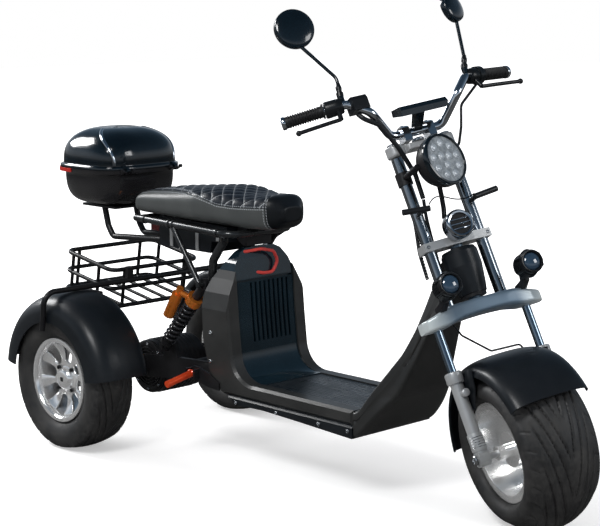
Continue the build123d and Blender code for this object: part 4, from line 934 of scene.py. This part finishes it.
# ================================================================ handlebar ends
# Ribbed rubber grips are pushed on the bar between a flange and a bright end collar. A plastic
# housing stands inboard of each, and a ball ends each lever.
bar_way = np.array((-0.062, 0.148, 0.006))
grip_skins, collars, balls, housings = [], [], [], []
for name, sign in sides:
    way = bar_way * (1, sign, 1)
    ahead_bar = unit(fork_x * way[0] + fork_y * way[1] + fork_z * way[2])
    start = at_fork(0.034, sign * 0.165, 0.912) + ahead_bar * 0.0575
    run = np.linspace(0.0052, 0.098, 220)
    ribs = (
        0.0146
        + 0.0012 * np.clip(np.sin(run * 2 * pi / 0.0062) * 1.6, -1.0, 1.0) * ((run > 0.012) & (run < 0.09))
    )
    rows = [(0.0, 0.0116), (0.0, 0.0185), (0.0042, 0.0188),
        (0.0052, 0.0165)] + list(zip(run, ribs)) + [(0.0985, 0.0116)]
    grip_skins.append(turned(rows, start, ahead_bar, 40))
    cap = ((0.0982, 0.0), (0.0982, 0.0158), (0.101, 0.0166), (0.106, 0.0164), (0.1085, 0.0148), (0.1088, 0.008),
        (0.1085, 0.0))
    collars.append(turned(cap, start, ahead_bar, 40))
    ball_rows = [(-0.0072 * cos(t), 0.0072 * sin(t)) for t in np.linspace(0, pi, 15)]
    drum = ((-0.048, 0.0), (-0.048, 0.0165), (-0.044, 0.0195), (-0.03, 0.0205), (-0.008, 0.0212),
        (-0.003, 0.0205), (-0.001, 0.018), (-0.001, 0.0))
    housings.append(turned(drum, start, ahead_bar, 48))
    balls.append(turned(ball_rows, at_fork(0.034, sign * 0.309, 0.868), fork_y, 24))
piece("grip_rubbers", grip_skins, "steering", rubber, ("grips",), crisp=50.0)
piece("grip_ends", collars, "steering", chrome)
piece("throttle_housings", housings, "steering", small_black, crisp=50.0)
piece("lever_balls", balls, "steering", small_black)

# ================================================================ mirrors
# Round mirrors of two sizes. Each glass is held in a domed back that is moulded in glossy
# black plastic.
backs = []
for middle, radius, turn in (((0.002, -0.217, 1.139), 0.05, 0.0), ((0.012, 0.210, 1.103), 0.037, radians(31))):
    ahead_mirror = fork_x * cos(turn) + fork_y * sin(turn)
    arc = np.linspace(0.0, pi / 2, 12)
    rows = [(-0.0085, 0.0), (-0.0085, radius + 0.0002), (-0.004, radius + 0.0012)]
    rows += [(0.004 + 0.011 * sin(t), (radius + 0.001) * cos(t) ** 0.9) for t in arc]
    backs.append(turned(rows, at_fork(*middle), ahead_mirror, 72))
piece("mirror_backs", backs, "steering", gloss_black, crisp=50.0)

# ================================================================ bolts
# Socket-headed screws of bright machined steel hold the side panels to the frame, the clamps
# to the tubes, and the front axle in its legs.


def screw(spot, way, head_r, tall, socket=True):
    """A domed head: a profile of a cone with a rounded edge and a round socket sunk in its middle."""
    rows = [(-0.001, 0.0), (-0.001, head_r), (tall * 0.45, head_r), (tall * 0.85, head_r * 0.84),
        (tall, head_r * 0.55)]
    rows += [(tall * 0.4, head_r * 0.5), (tall * 0.4, 0.0)] if socket else [(tall * 1.06, 0.0)]
    return turned(rows, spot, way, 18)


sill_screws, bright_screws = [], []
for x in (0.50, 0.66, 0.82, 0.925):
    for y in (-0.1462, 0.1462):
        sill_screws.append(screw((rear_x + x, y, 0.1805), (0, np.sign(y), 0), 0.0055, 0.003))
for x, z in ((0.4, 0.36), (0.398, 0.28)):
    for y in (-0.1462, 0.1462):
        sill_screws.append(screw((rear_x + x, y, z), (0, np.sign(y), 0), 0.0055, 0.003))
piece("body_screws", sill_screws, "chassis", steel, crisp=30.0)
for y in (-1, 1):
    bright_screws.append(screw(at_fork(0.0, y * 0.1418, 0.0), fork_y * y, 0.0125, 0.006))
    bright_screws.append(screw(at_fork(0.0, y * 0.072, 0.790), fork_z, 0.0145, 0.005))
    bright_screws.append(screw(at_fork(0.022, y * 0.082, 0.5195), fork_x, 0.005, 0.004))
    bright_screws.append(screw(at_fork(0.006, y * 0.034, 0.830), fork_z, 0.0055, 0.004))
bright_screws.append(screw(at_fork(0.0, 0.0, 0.790), fork_z, 0.016, 0.007))
piece("fork_screws", bright_screws, "steering", steel, crisp=30.0)

# ================================================================ arches
# Moulded wheel arches with a round crown: a thin plastic skin that turns down to the wheel on
# both sides. The front one hangs between the legs on two plate ears.


def arch_grid(middle, ahead, across, upward, from_deg, to_deg, outline, skin, rows=110):
    """The smoothed outline (distance from the axle, distance across) is swept round the axle; the inner
    skin is the outline moved in along its own normal, and each end closes on the skin's middle line."""
    outline = np.array(outline, float)
    girth = run_along(outline)
    even = np.linspace(0.0, girth[-1], 90)
    r, y = (soften(np.interp(even, girth, outline[:, k]), 4) for k in (0, 1))
    dr, dy = np.gradient(r), np.gradient(y)
    size = np.hypot(dr, dy)
    inner_r, inner_y = r - skin * dy / size, y + skin * dr / size
    r = np.concatenate([r, inner_r[::-1]])
    y = np.concatenate([y, inner_y[::-1]])
    turn = np.radians(np.linspace(from_deg, to_deg, rows))
    out = np.cos(turn)[:, None] * ahead + np.sin(turn)[:, None] * upward
    grid = np.array(middle) + r[None, :, None] * out[:, None, :] + y[None, :, None] * np.array(across)
    first, last = (0.5 * (row + row[::-1]) for row in (grid[0], grid[-1]))
    return np.concatenate([first[None], grid, last[None]]), True, False


arch_skin = 0.0034
rear_section = (
    (0.214, -0.084), (0.230, -0.0835), (0.241, -0.077), (0.2452, -0.055), (0.246, -0.012), (0.2445, 0.024),
    (0.2385, 0.052), (0.226, 0.072), (0.208, 0.0825), (0.188, 0.0856), (0.165, 0.0858),
)
for name, sign in sides:
    section = [(r, y * sign) for r, y in rear_section]
    grid, around, along = arch_grid(
        (rear_x, sign * rear_wheel_y, rear_tyre_r), np.array((1.0, 0, 0)), (0, 1, 0), np.array((0, 0, 1.0)),
        8.0, 172.0, section, arch_skin * sign)
    piece(f"rear_arch_{name}", [(grid, around, along)], "chassis", satin_black,
        (f"rear_fender_{name}",), crisp=60.0)

front_turn = np.linspace(0.0, pi, 61)
front_section = [
    (0.197 + 0.030 * abs(sin(t)) ** (2 / 2.7),
    -0.103 * np.sign(cos(t)) * abs(cos(t)) ** (2 / 2.7)) for t in front_turn
]
front_section = [(0.190, -0.103), *front_section, (0.190, 0.103)]
arch = arch_grid(fork_o, fork_x, fork_y, fork_z, 20.0, 167.0, front_section, arch_skin)

leg_half, slider_r, clearance = 0.123, 0.016, 0.0003
near = leg_half - slider_r - clearance
ears = []
for name, sign in sides:
    ear = [at_fork(x, sign * near, z) for x, z in (
        (-0.014, 0.12), (-0.014, 0.19), (0.022, 0.194), (0.034, 0.208), (0.066, 0.204), (0.054, 0.16),
        (0.014, 0.112))]
    ears.append(plate(ear, -sign * fork_y, 0.0042))
piece("front_arch", [arch, *ears], "steering", satin_black, ("front_fender",), crisp=60.0)

# ================================================================ neck panel
# The neck's plastic moulding grows out of the sills at full width and narrows to the head tube; a raised band
# runs up its rear edges.
neck_rear = np.array(((-0.445, 0.236), (-0.432, 0.2375), (-0.420, 0.249), (-0.378, 0.316), (-0.332, 0.391),
    (-0.306, 0.454), (-0.2915, 0.510), (-0.281, 0.552)))
neck_front = np.array(((-0.445, 0.163), (-0.43, 0.169), (-0.412, 0.188), (-0.332, 0.283), (-0.296, 0.368),
    (-0.259, 0.462), (-0.2235, 0.532), (-0.219, 0.552)))
taper = np.array(((0.15, 0.146), (0.178, 0.146), (0.245, 0.1135), (0.282, 0.0985), (0.366, 0.0815),
    (0.458, 0.063), (0.5, 0.05), (0.552, 0.036)))

neck_square = 11


def neck_grid(rows=150, cols=160):
    """Rounded rectangles between a rear and a front edge. Their half width blends from the sill's at
    the foot to a taper with height; near the rear edge a band stands 2 mm proud."""
    share = np.linspace(0.0, 1.0, rows)

    def edge(points):
        girth = run_along(points)
        return [soften(np.interp(share * girth[-1], girth, points[:, k]), 4) for k in (0, 1)]

    (rear_ex, rear_ez), (front_ex, front_ez) = edge(neck_rear), edge(neck_front)
    v = np.linspace(0.0, 2 * pi, 6001)
    a, b = superellipse(v, neck_square)
    girth = run_along(np.stack([a, b * 0.7], -1))
    even = np.interp(np.linspace(0.0, girth[-1], cols, endpoint=False), girth, v)
    a, b = superellipse(even, neck_square)
    u = (0.5 - 0.5 * b)[None, :]
    x = rear_ex[:, None] * (1 - u) + front_ex[:, None] * u
    z = rear_ez[:, None] * (1 - u) + front_ez[:, None] * u
    blend = np.clip((x + 0.445) / 0.15, 0.0, 1.0)
    blend = blend * blend * (3 - 2 * blend)
    half = (1 - blend) * 0.146 + blend * np.interp(z, taper[:, 0], taper[:, 1])
    deep = np.hypot(x - rear_ex[:, None], z - rear_ez[:, None])
    past = np.clip((deep - 0.024) / 0.0025, 0.0, 1.0)
    half = half - 0.0025 * past - 0.002 * np.exp(-((deep - 0.0265) / 0.0014) ** 2)
    grid = np.stack([x + fork_o[0], a * half, z], -1)
    poles = [np.broadcast_to(row.mean(0), row.shape)[None] for row in (grid[0], grid[-1])]
    return np.concatenate([poles[0], grid, poles[1]]), True, False


piece("neck_panel", [neck_grid()], "chassis", panel_sheen_grey, ("front_neck",), crisp=45.0)

# ================================================================ basket
# Welded from bent round bar and powder-coated black: three hoops, eight uprights, and five bars
# along the floor.
basket_tip = radians(9.5)
basket_lift = 0.3226       # basket rim over the axle
basket_o = np.array((rear_x - 0.232, 0.0, rear_tyre_r + basket_lift))
basket_along = np.array((cos(basket_tip), 0.0, -sin(basket_tip)))
basket_up = np.array((sin(basket_tip), 0.0, cos(basket_tip)))


def basket_at(x, y, z):
    return basket_o + x * basket_along + np.array((0.0, y, 0.0)) + z * basket_up


def hoop(length, half, corner, drop, inset):
    """A closed rectangle with quarter-circle corners, `inset` inside the basket's outline."""
    x0, x1, y1, r = inset, length - inset, half - inset, corner - inset
    turn = np.linspace(0.0, pi / 2, 9)
    points = []
    for cx, cy, start in ((x1 - r, y1 - r, 0.0), (x0 + r, y1 - r, pi / 2), (x0 + r, r - y1, pi),
            (x1 - r, r - y1, 3 * pi / 2)):
        points += [basket_at(cx + r * cos(start + t), cy + r * sin(start + t), drop) for t in turn]
    return np.array(points)


bars = []
for drop, bar_r in ((-0.001, 0.0065), (-0.057, 0.0060), (-0.113, 0.0065)):
    bars.append(along_path(hoop(0.222, 0.163, 0.028, drop, 0.001), bar_r, 12, True))
for x in (0.001, 0.221):
    for y in (-0.115, 0.115):
        bars.append(along_path(np.array([basket_at(x, y, z) for z in (0.0, -0.06, -0.113)]), 0.0052, 10))
for x in (0.036, 0.16):
    for y in (-0.162, 0.162):
        bars.append(along_path(np.array([basket_at(x, y, z) for z in (0.0, -0.06, -0.113)]), 0.0052, 10))
for y in (-0.110, -0.055, 0.0, 0.055, 0.110):
    bars.append(along_path(np.array([basket_at(x, y, -0.113) for x in (0.0, 0.11, 0.222)]), 0.0052, 10))
piece("basket_bars", bars, "chassis", powder_black, ("basket",))

# ================================================================ deck mat
# A ribbed black rubber mat lies on the deck between the sills, scuffed paler in streaks
# that run along it.
mat = Finish("deck_mat_rubber")
mat_y = mat.parts(mat.place())[1]
wear = mat.clamp(mat.noise(9.0, 5.0), 0.4, 0.7)
streaks = mat.node("ShaderNodeTexNoise", None, {
    "Vector": mat.node("ShaderNodeMapping", None, {"Vector": mat.place(), "Scale": (14.0, 160.0, 1.0)}),
    "Scale": 1.0, "Detail": 5.0, "Roughness": 0.65})
rib = ((mat_y * (2 * pi / 0.0125)).call("SINE") * 0.5 + 0.5).call("POWER", 3.0)
worn = mat.clamp(streaks, 0.5, 0.72)
mat.feed(Base_Color=mat.mix(worn * 0.6 + wear * 0.3, (0.004, 0.006, 0.008), (0.035, 0.041, 0.046)))
mat.feed(Roughness=0.22 + wear * 0.2 + worn * 0.16)
mat.bump(rib * 0.7 + worn * 0.6, 0.0012, 0.8)
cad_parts["footboard"].material_slots[0].material = mat.material

# ================================================================ lower yoke
# A cast and painted bridge between the two legs: thickest over the middle, it thins to a boss at
# each end. The steering stem rises from it.
yoke_top = np.array(((-0.163, 0.347), (-0.150, 0.3495), (-0.126, 0.3555), (-0.105, 0.3625), (-0.085, 0.3668),
    (-0.05, 0.3678), (0.0, 0.368)))
yoke_low = np.array(((-0.163, 0.320), (-0.125, 0.320), (-0.104, 0.3205), (-0.085, 0.3245), (-0.066, 0.3285),
    (-0.03, 0.3305), (0.0, 0.331)))
yoke_ahead = np.array(((-0.163, -0.012, 0.012), (-0.160, -0.0145, 0.0255), (-0.150, -0.020, 0.033),
    (-0.128, -0.0255, 0.0425), (-0.100, -0.026, 0.0452), (-0.06, -0.026, 0.0468), (0.0, -0.026, 0.047)))


def bridge_grid(half, top_line, low_line, depth_lines, rows=140, cols=72, square=6.0):
    """Rounded-rectangle sections from one end to the other, spaced along the width; top, bottom, back
    and front edges are each a smoothed line over the distance from the middle."""
    y = np.linspace(-half, half, rows)
    top, low, back, front = (
        soften(np.interp(-abs(y), table[:, 0], table[:, k]), 2)
        for table, k in ((top_line, 1), (low_line, 1), (depth_lines, 1), (depth_lines, 2)))
    v = np.linspace(0.0, 2 * pi, cols, endpoint=False)
    a, b = superellipse(v, square)
    x = (front + back)[:, None] / 2 + (front - back)[:, None] / 2 * a
    z = (top + low)[:, None] / 2 + (top - low)[:, None] / 2 * b
    grid = (
        fork_o + x[..., None] * fork_x
        + np.broadcast_to(y[:, None, None], (*x.shape, 1)) * fork_y + z[..., None] * fork_z
    )
    poles = [np.broadcast_to(row.mean(0), row.shape)[None] for row in (grid[0], grid[-1])]
    return np.concatenate([poles[0], grid, poles[1]]), True, False


bridge_paint = Finish("yoke_bridge_paint")
bx, by, bz = bridge_paint.parts(bridge_paint.place())
out_along = (bx - fork_o[0]) * fork_y[0] + (by - fork_o[1]) * fork_y[1] + (bz - fork_o[2]) * fork_y[2]
# The bridge's paint is given dark blue over the middle and pale grey at each end: painted shade over the middle
# and painted highlights on the end bosses.
lit_end_share = bridge_paint.clamp(out_along.call("ABSOLUTE"), 0.085, 0.15)
cloud = bridge_paint.noise(9.0, 3.0)
bridge_paint.feed(Base_Color=bridge_paint.mix(
    lit_end_share, bridge_paint.mix(cloud, (0.07, 0.115, 0.165), (0.13, 0.185, 0.24)),
    bridge_paint.mix(cloud, (0.4, 0.45, 0.46), (0.56, 0.6, 0.6))))
bridge_paint.feed(Roughness=0.3 + cloud * 0.14)
bridge_paint.fix(Metallic=0.35, Coat_Weight=0.2, Coat_Roughness=0.1)
bridge_paint.bump(bridge_paint.noise(420.0, 2.0), 0.00004)
stem = along_path([at_fork(0, 0, z) for z in (0.366, 0.44, 0.5087)], 0.016, 24)
piece("yoke_bridge", [bridge_grid(0.163, yoke_top, yoke_low, yoke_ahead), stem], "steering",
    bridge_paint.material, ("lower_yoke",), crisp=50.0)

# ================================================================ top yoke
# The upper bridge is cast thinner, in bare alloy: a round boss clamps each tube, and a waist
# joins the two under the handlebar.
crown_top = np.array(((-0.092, 0.786), (-0.088, 0.789), (-0.05, 0.7895), (-0.04, 0.784), (0.0, 0.784)))
crown_low = np.array(((-0.092, 0.762), (-0.088, 0.760), (-0.05, 0.7595), (-0.04, 0.766), (0.0, 0.766)))
boss_y = np.linspace(-0.0925, -0.046, 14)
boss_x = 0.0239 * np.sqrt(np.clip(1 - ((boss_y + 0.069) / 0.0236) ** 2, 0.0, 1.0))
crown_ahead = np.array(
    [(y, -x, x) for y, x in zip(boss_y, np.maximum(boss_x, 0.004))]
    + [(-0.04, -0.014, 0.022), (-0.02, -0.015, 0.026), (0.0, -0.015, 0.027)]
)
piece("crown_bridge", [bridge_grid(0.092, crown_top, crown_low, crown_ahead)], "steering",
    cast_silver, ("top_yoke",), crisp=40.0)

# ================================================================ fork fittings
# Each lower leg has a cast collar at its top, a sleeve near its foot with five turned ribs, and a
# pinch lug in front.
leg_rings, leg_boots = [], []
for name, sign in sides:
    foot = at_fork(0.0, sign * leg_half, 0.0)
    top = ((0.186, 0.0158), (0.187, 0.0205), (0.1905, 0.0215), (0.21, 0.0215), (0.2135, 0.0205),
        (0.2148, 0.0165), (0.2148, 0.0112))
    leg_rings.append(turned(((0.186, 0.0112), *top), foot, fork_z, 40, True))
    sleeve = ((0.062, 0.0158), (0.0615, 0.0182), (0.059, 0.0188), (0.022, 0.0188), (0.019, 0.018), (0.018, 0.0158))
    leg_rings.append(turned(sleeve, foot, fork_z, 40, True))
    for rise in (0.028, 0.034, 0.040, 0.046, 0.052):
        lip = ((rise - 0.0012, 0.0186), (rise, 0.0194), (rise + 0.0012, 0.0186))
        leg_boots.append(turned(((rise - 0.0012, 0.018), *lip, (rise + 0.0012, 0.018)), foot, fork_z, 32, True))
    lug_spot = at_fork(0.014, sign * leg_half, 0.158)
    leg_rings.append(turned(((0.0, 0.0), (0.0, 0.0075), (0.016, 0.0075), (0.018, 0.0095), (0.024, 0.0095),
        (0.026, 0.007), (0.026, 0.0)), lug_spot, fork_x, 24))
piece("leg_collars", leg_rings, "steering", cast_silver, crisp=40.0)
piece("leg_boots", leg_boots, "steering", steel, crisp=40.0)

# ================================================================ spotlight cages
# Six curved black claws run forward over each spotlight and hold its hood to the finned
# housing.
claws = []
for name, sign in sides:
    for index in range(6):
        turn = radians(30 + 60 * index)
        out = cos(turn) * fork_y + sin(turn) * fork_z
        bow = np.linspace(0.0, 1.0, 12)
        path = at_fork(0.0, sign * 0.111, 0.402) + (0.134 - 0.056 * bow)[:, None] * fork_x + (
            0.0262 + 0.0072 * np.sin(pi * bow) ** 0.7 - 0.004 * bow)[:, None] * out
        claws.append(along_path(path, 0.0031, 8))
piece("spotlight_claws", claws, "steering", small_black)

# ================================================================ spiral cable
# A cable runs down beside the right tube, wound with a pale plastic sleeve. The loom goes on below
# the lamp, and a thin lead crosses between the turn signals.
spiral_points = np.array([at_fork(*p) for p in ((-0.024, -0.066, 0.634), (-0.024, -0.0745, 0.578),
    (-0.025, -0.086, 0.520), (-0.025, -0.091, 0.454))])
wraps = 24
spiral_turn = np.linspace(0.0, 1.0, wraps * 12)
girth = run_along(spiral_points)
girth /= girth[-1]
middle_line = np.stack([np.interp(spiral_turn, girth, spiral_points[:, k]) for k in range(3)], -1)
wrap = wraps * 2 * pi * spiral_turn
coil = middle_line + 0.0034 * (np.cos(wrap)[:, None] * fork_x + np.sin(wrap)[:, None] * fork_y)
pale_sleeve = moulded("pale_sleeve", (0.2, 0.2, 0.19), (0.34, 0.34, 0.32), (0.4, 0.55))
piece("spiral_wrap", [along_path(coil, 0.0015, 7)], "steering", pale_sleeve)
leads = []
for points, thick in (
    (((0.022, -0.05, 0.642), (0.010, -0.054, 0.600), (0.0, -0.054, 0.56), (-0.012, -0.052, 0.52),
    (-0.02, -0.05, 0.49)), 0.0045),
    (((0.058, -0.062, 0.612), (0.056, -0.040, 0.630), (0.05, -0.014, 0.628), (0.05, 0.014, 0.612),
    (0.052, 0.044, 0.606), (0.058, 0.07, 0.614)), 0.0016),
):
    points = np.array([at_fork(*p) for p in points])
    girth = run_along(points)
    even = np.linspace(0.0, girth[-1], 60)
    line = np.stack([soften(np.interp(even, girth, points[:, k]), 6) for k in range(3)], -1)
    leads.append(along_path(line, thick, 8))
piece("loose_leads", leads, "steering", small_black)

# ================================================================ seat frame fittings
# Steel rings stand on the lacquered rails under the seat, and screwed straps of cast alloy hold
# the box between them.
rail_rings, straps = [], []


def rail_spot(x, y):
    """Point on the centre line of a seat rail."""
    return np.array((rear_x + x, y, 0.652 - 0.012 * (x - 0.032) / 0.418 - 0.0103))


rail_way = unit(rail_spot(0.4, 0.117) - rail_spot(0.1, 0.117))
for name, sign in sides:
    for x in (0.088, 0.196, 0.214, 0.40):
        ring = ((-0.0045, 0.0), (-0.0045, 0.0118), (-0.003, 0.0127), (0.003, 0.0127), (0.0045, 0.0118),
            (0.0045, 0.0))
        rail_rings.append(turned(ring, rail_spot(x, sign * 0.117), rail_way, 28))
    for x in (0.150, 0.262, 0.350):
        strip = [
            (rear_x + x, sign * 0.0762, 0.566 if x < 0.3 else 0.600),
            (rear_x + x + 0.012, sign * 0.0762, 0.566 if x < 0.3 else 0.600),
            (rear_x + x + 0.012, sign * 0.0762, 0.634), (rear_x + x, sign * 0.0762, 0.634),
        ]
        straps.append(plate(strip, (0, sign, 0), 0.003))
        straps.append(screw((rear_x + x + 0.006, sign * 0.079, 0.622), (0, sign, 0), 0.004, 0.002))
piece("rail_rings", rail_rings, "chassis", frame_black)
piece("battery_straps", straps, "chassis", cast_silver, crisp=30.0)

# ================================================================ motor and axle covers
# Ribbed end covers, bolted round their rims, close the motor case in the middle of the rear axle;
# nine cooling ribs stand round the case between them.
covers, cover_bolts = [], []
motor = np.array((rear_x + 0.042, 0.0, rear_tyre_r))
for name, sign in sides:
    face = motor + (0.0, sign * 0.0748, 0.0)
    ribs = [(0.0, 0.0), (0.0, 0.0745), (0.003, 0.0765), (0.006, 0.0755), (0.008, 0.071), (0.0075, 0.064)]
    for r in (0.056, 0.047, 0.038, 0.029):
        ribs += [(0.006, r + 0.003), (0.010, r + 0.0015), (0.010, r - 0.0015), (0.006, r - 0.003)]
    covers.append(turned([*ribs, (0.009, 0.014), (0.009, 0.0)], face, (0, sign, 0), 64))
    for turn in np.arange(8) * pi / 4:
        cover_bolts.append(screw(face + np.array((0.067 * cos(turn), sign * 0.0072, 0.067 * sin(turn))),
            (0, sign, 0), 0.0045, 0.003))
for y in np.linspace(-0.055, 0.055, 9):
    covers.append(turned(((-0.0015, 0.077), (-0.0012, 0.0798), (0.0012, 0.0798), (0.0015, 0.077)),
        motor + (0.0, y, 0.0), (0, 1, 0), 64, True))
piece("motor_covers", covers, "chassis", powder_black, crisp=40.0)
piece("motor_bolts", cover_bolts, "chassis", steel, crisp=30.0)

# ================================================================ mirror nuts
# Each mirror stem screws into a clamp on the bar and is held by a stepped lock nut, turned in
# blacked steel.
sleeves = []
for middle, bend in (((0.034, -0.173, 0.912), (0.024, -0.163, 0.985)),
        ((0.034, 0.173, 0.912), (0.027, 0.186, 0.965))):
    foot = at_fork(middle[0] - 0.4189 * 0.008, middle[1], middle[2] + 0.022)
    way = unit(at_fork(*bend) - foot)
    profile = (
        (0.0, 0.0), (0.0, 0.0085), (0.006, 0.0092), (0.011, 0.0092), (0.0125, 0.0068), (0.019, 0.0068),
        (0.021, 0.0076), (0.028, 0.0076), (0.031, 0.0062), (0.038, 0.0052), (0.038, 0.0)
    )
    sleeves.append(turned(profile, foot, way, 24))
piece("mirror_nuts", sleeves, "steering", small_black, crisp=30.0)
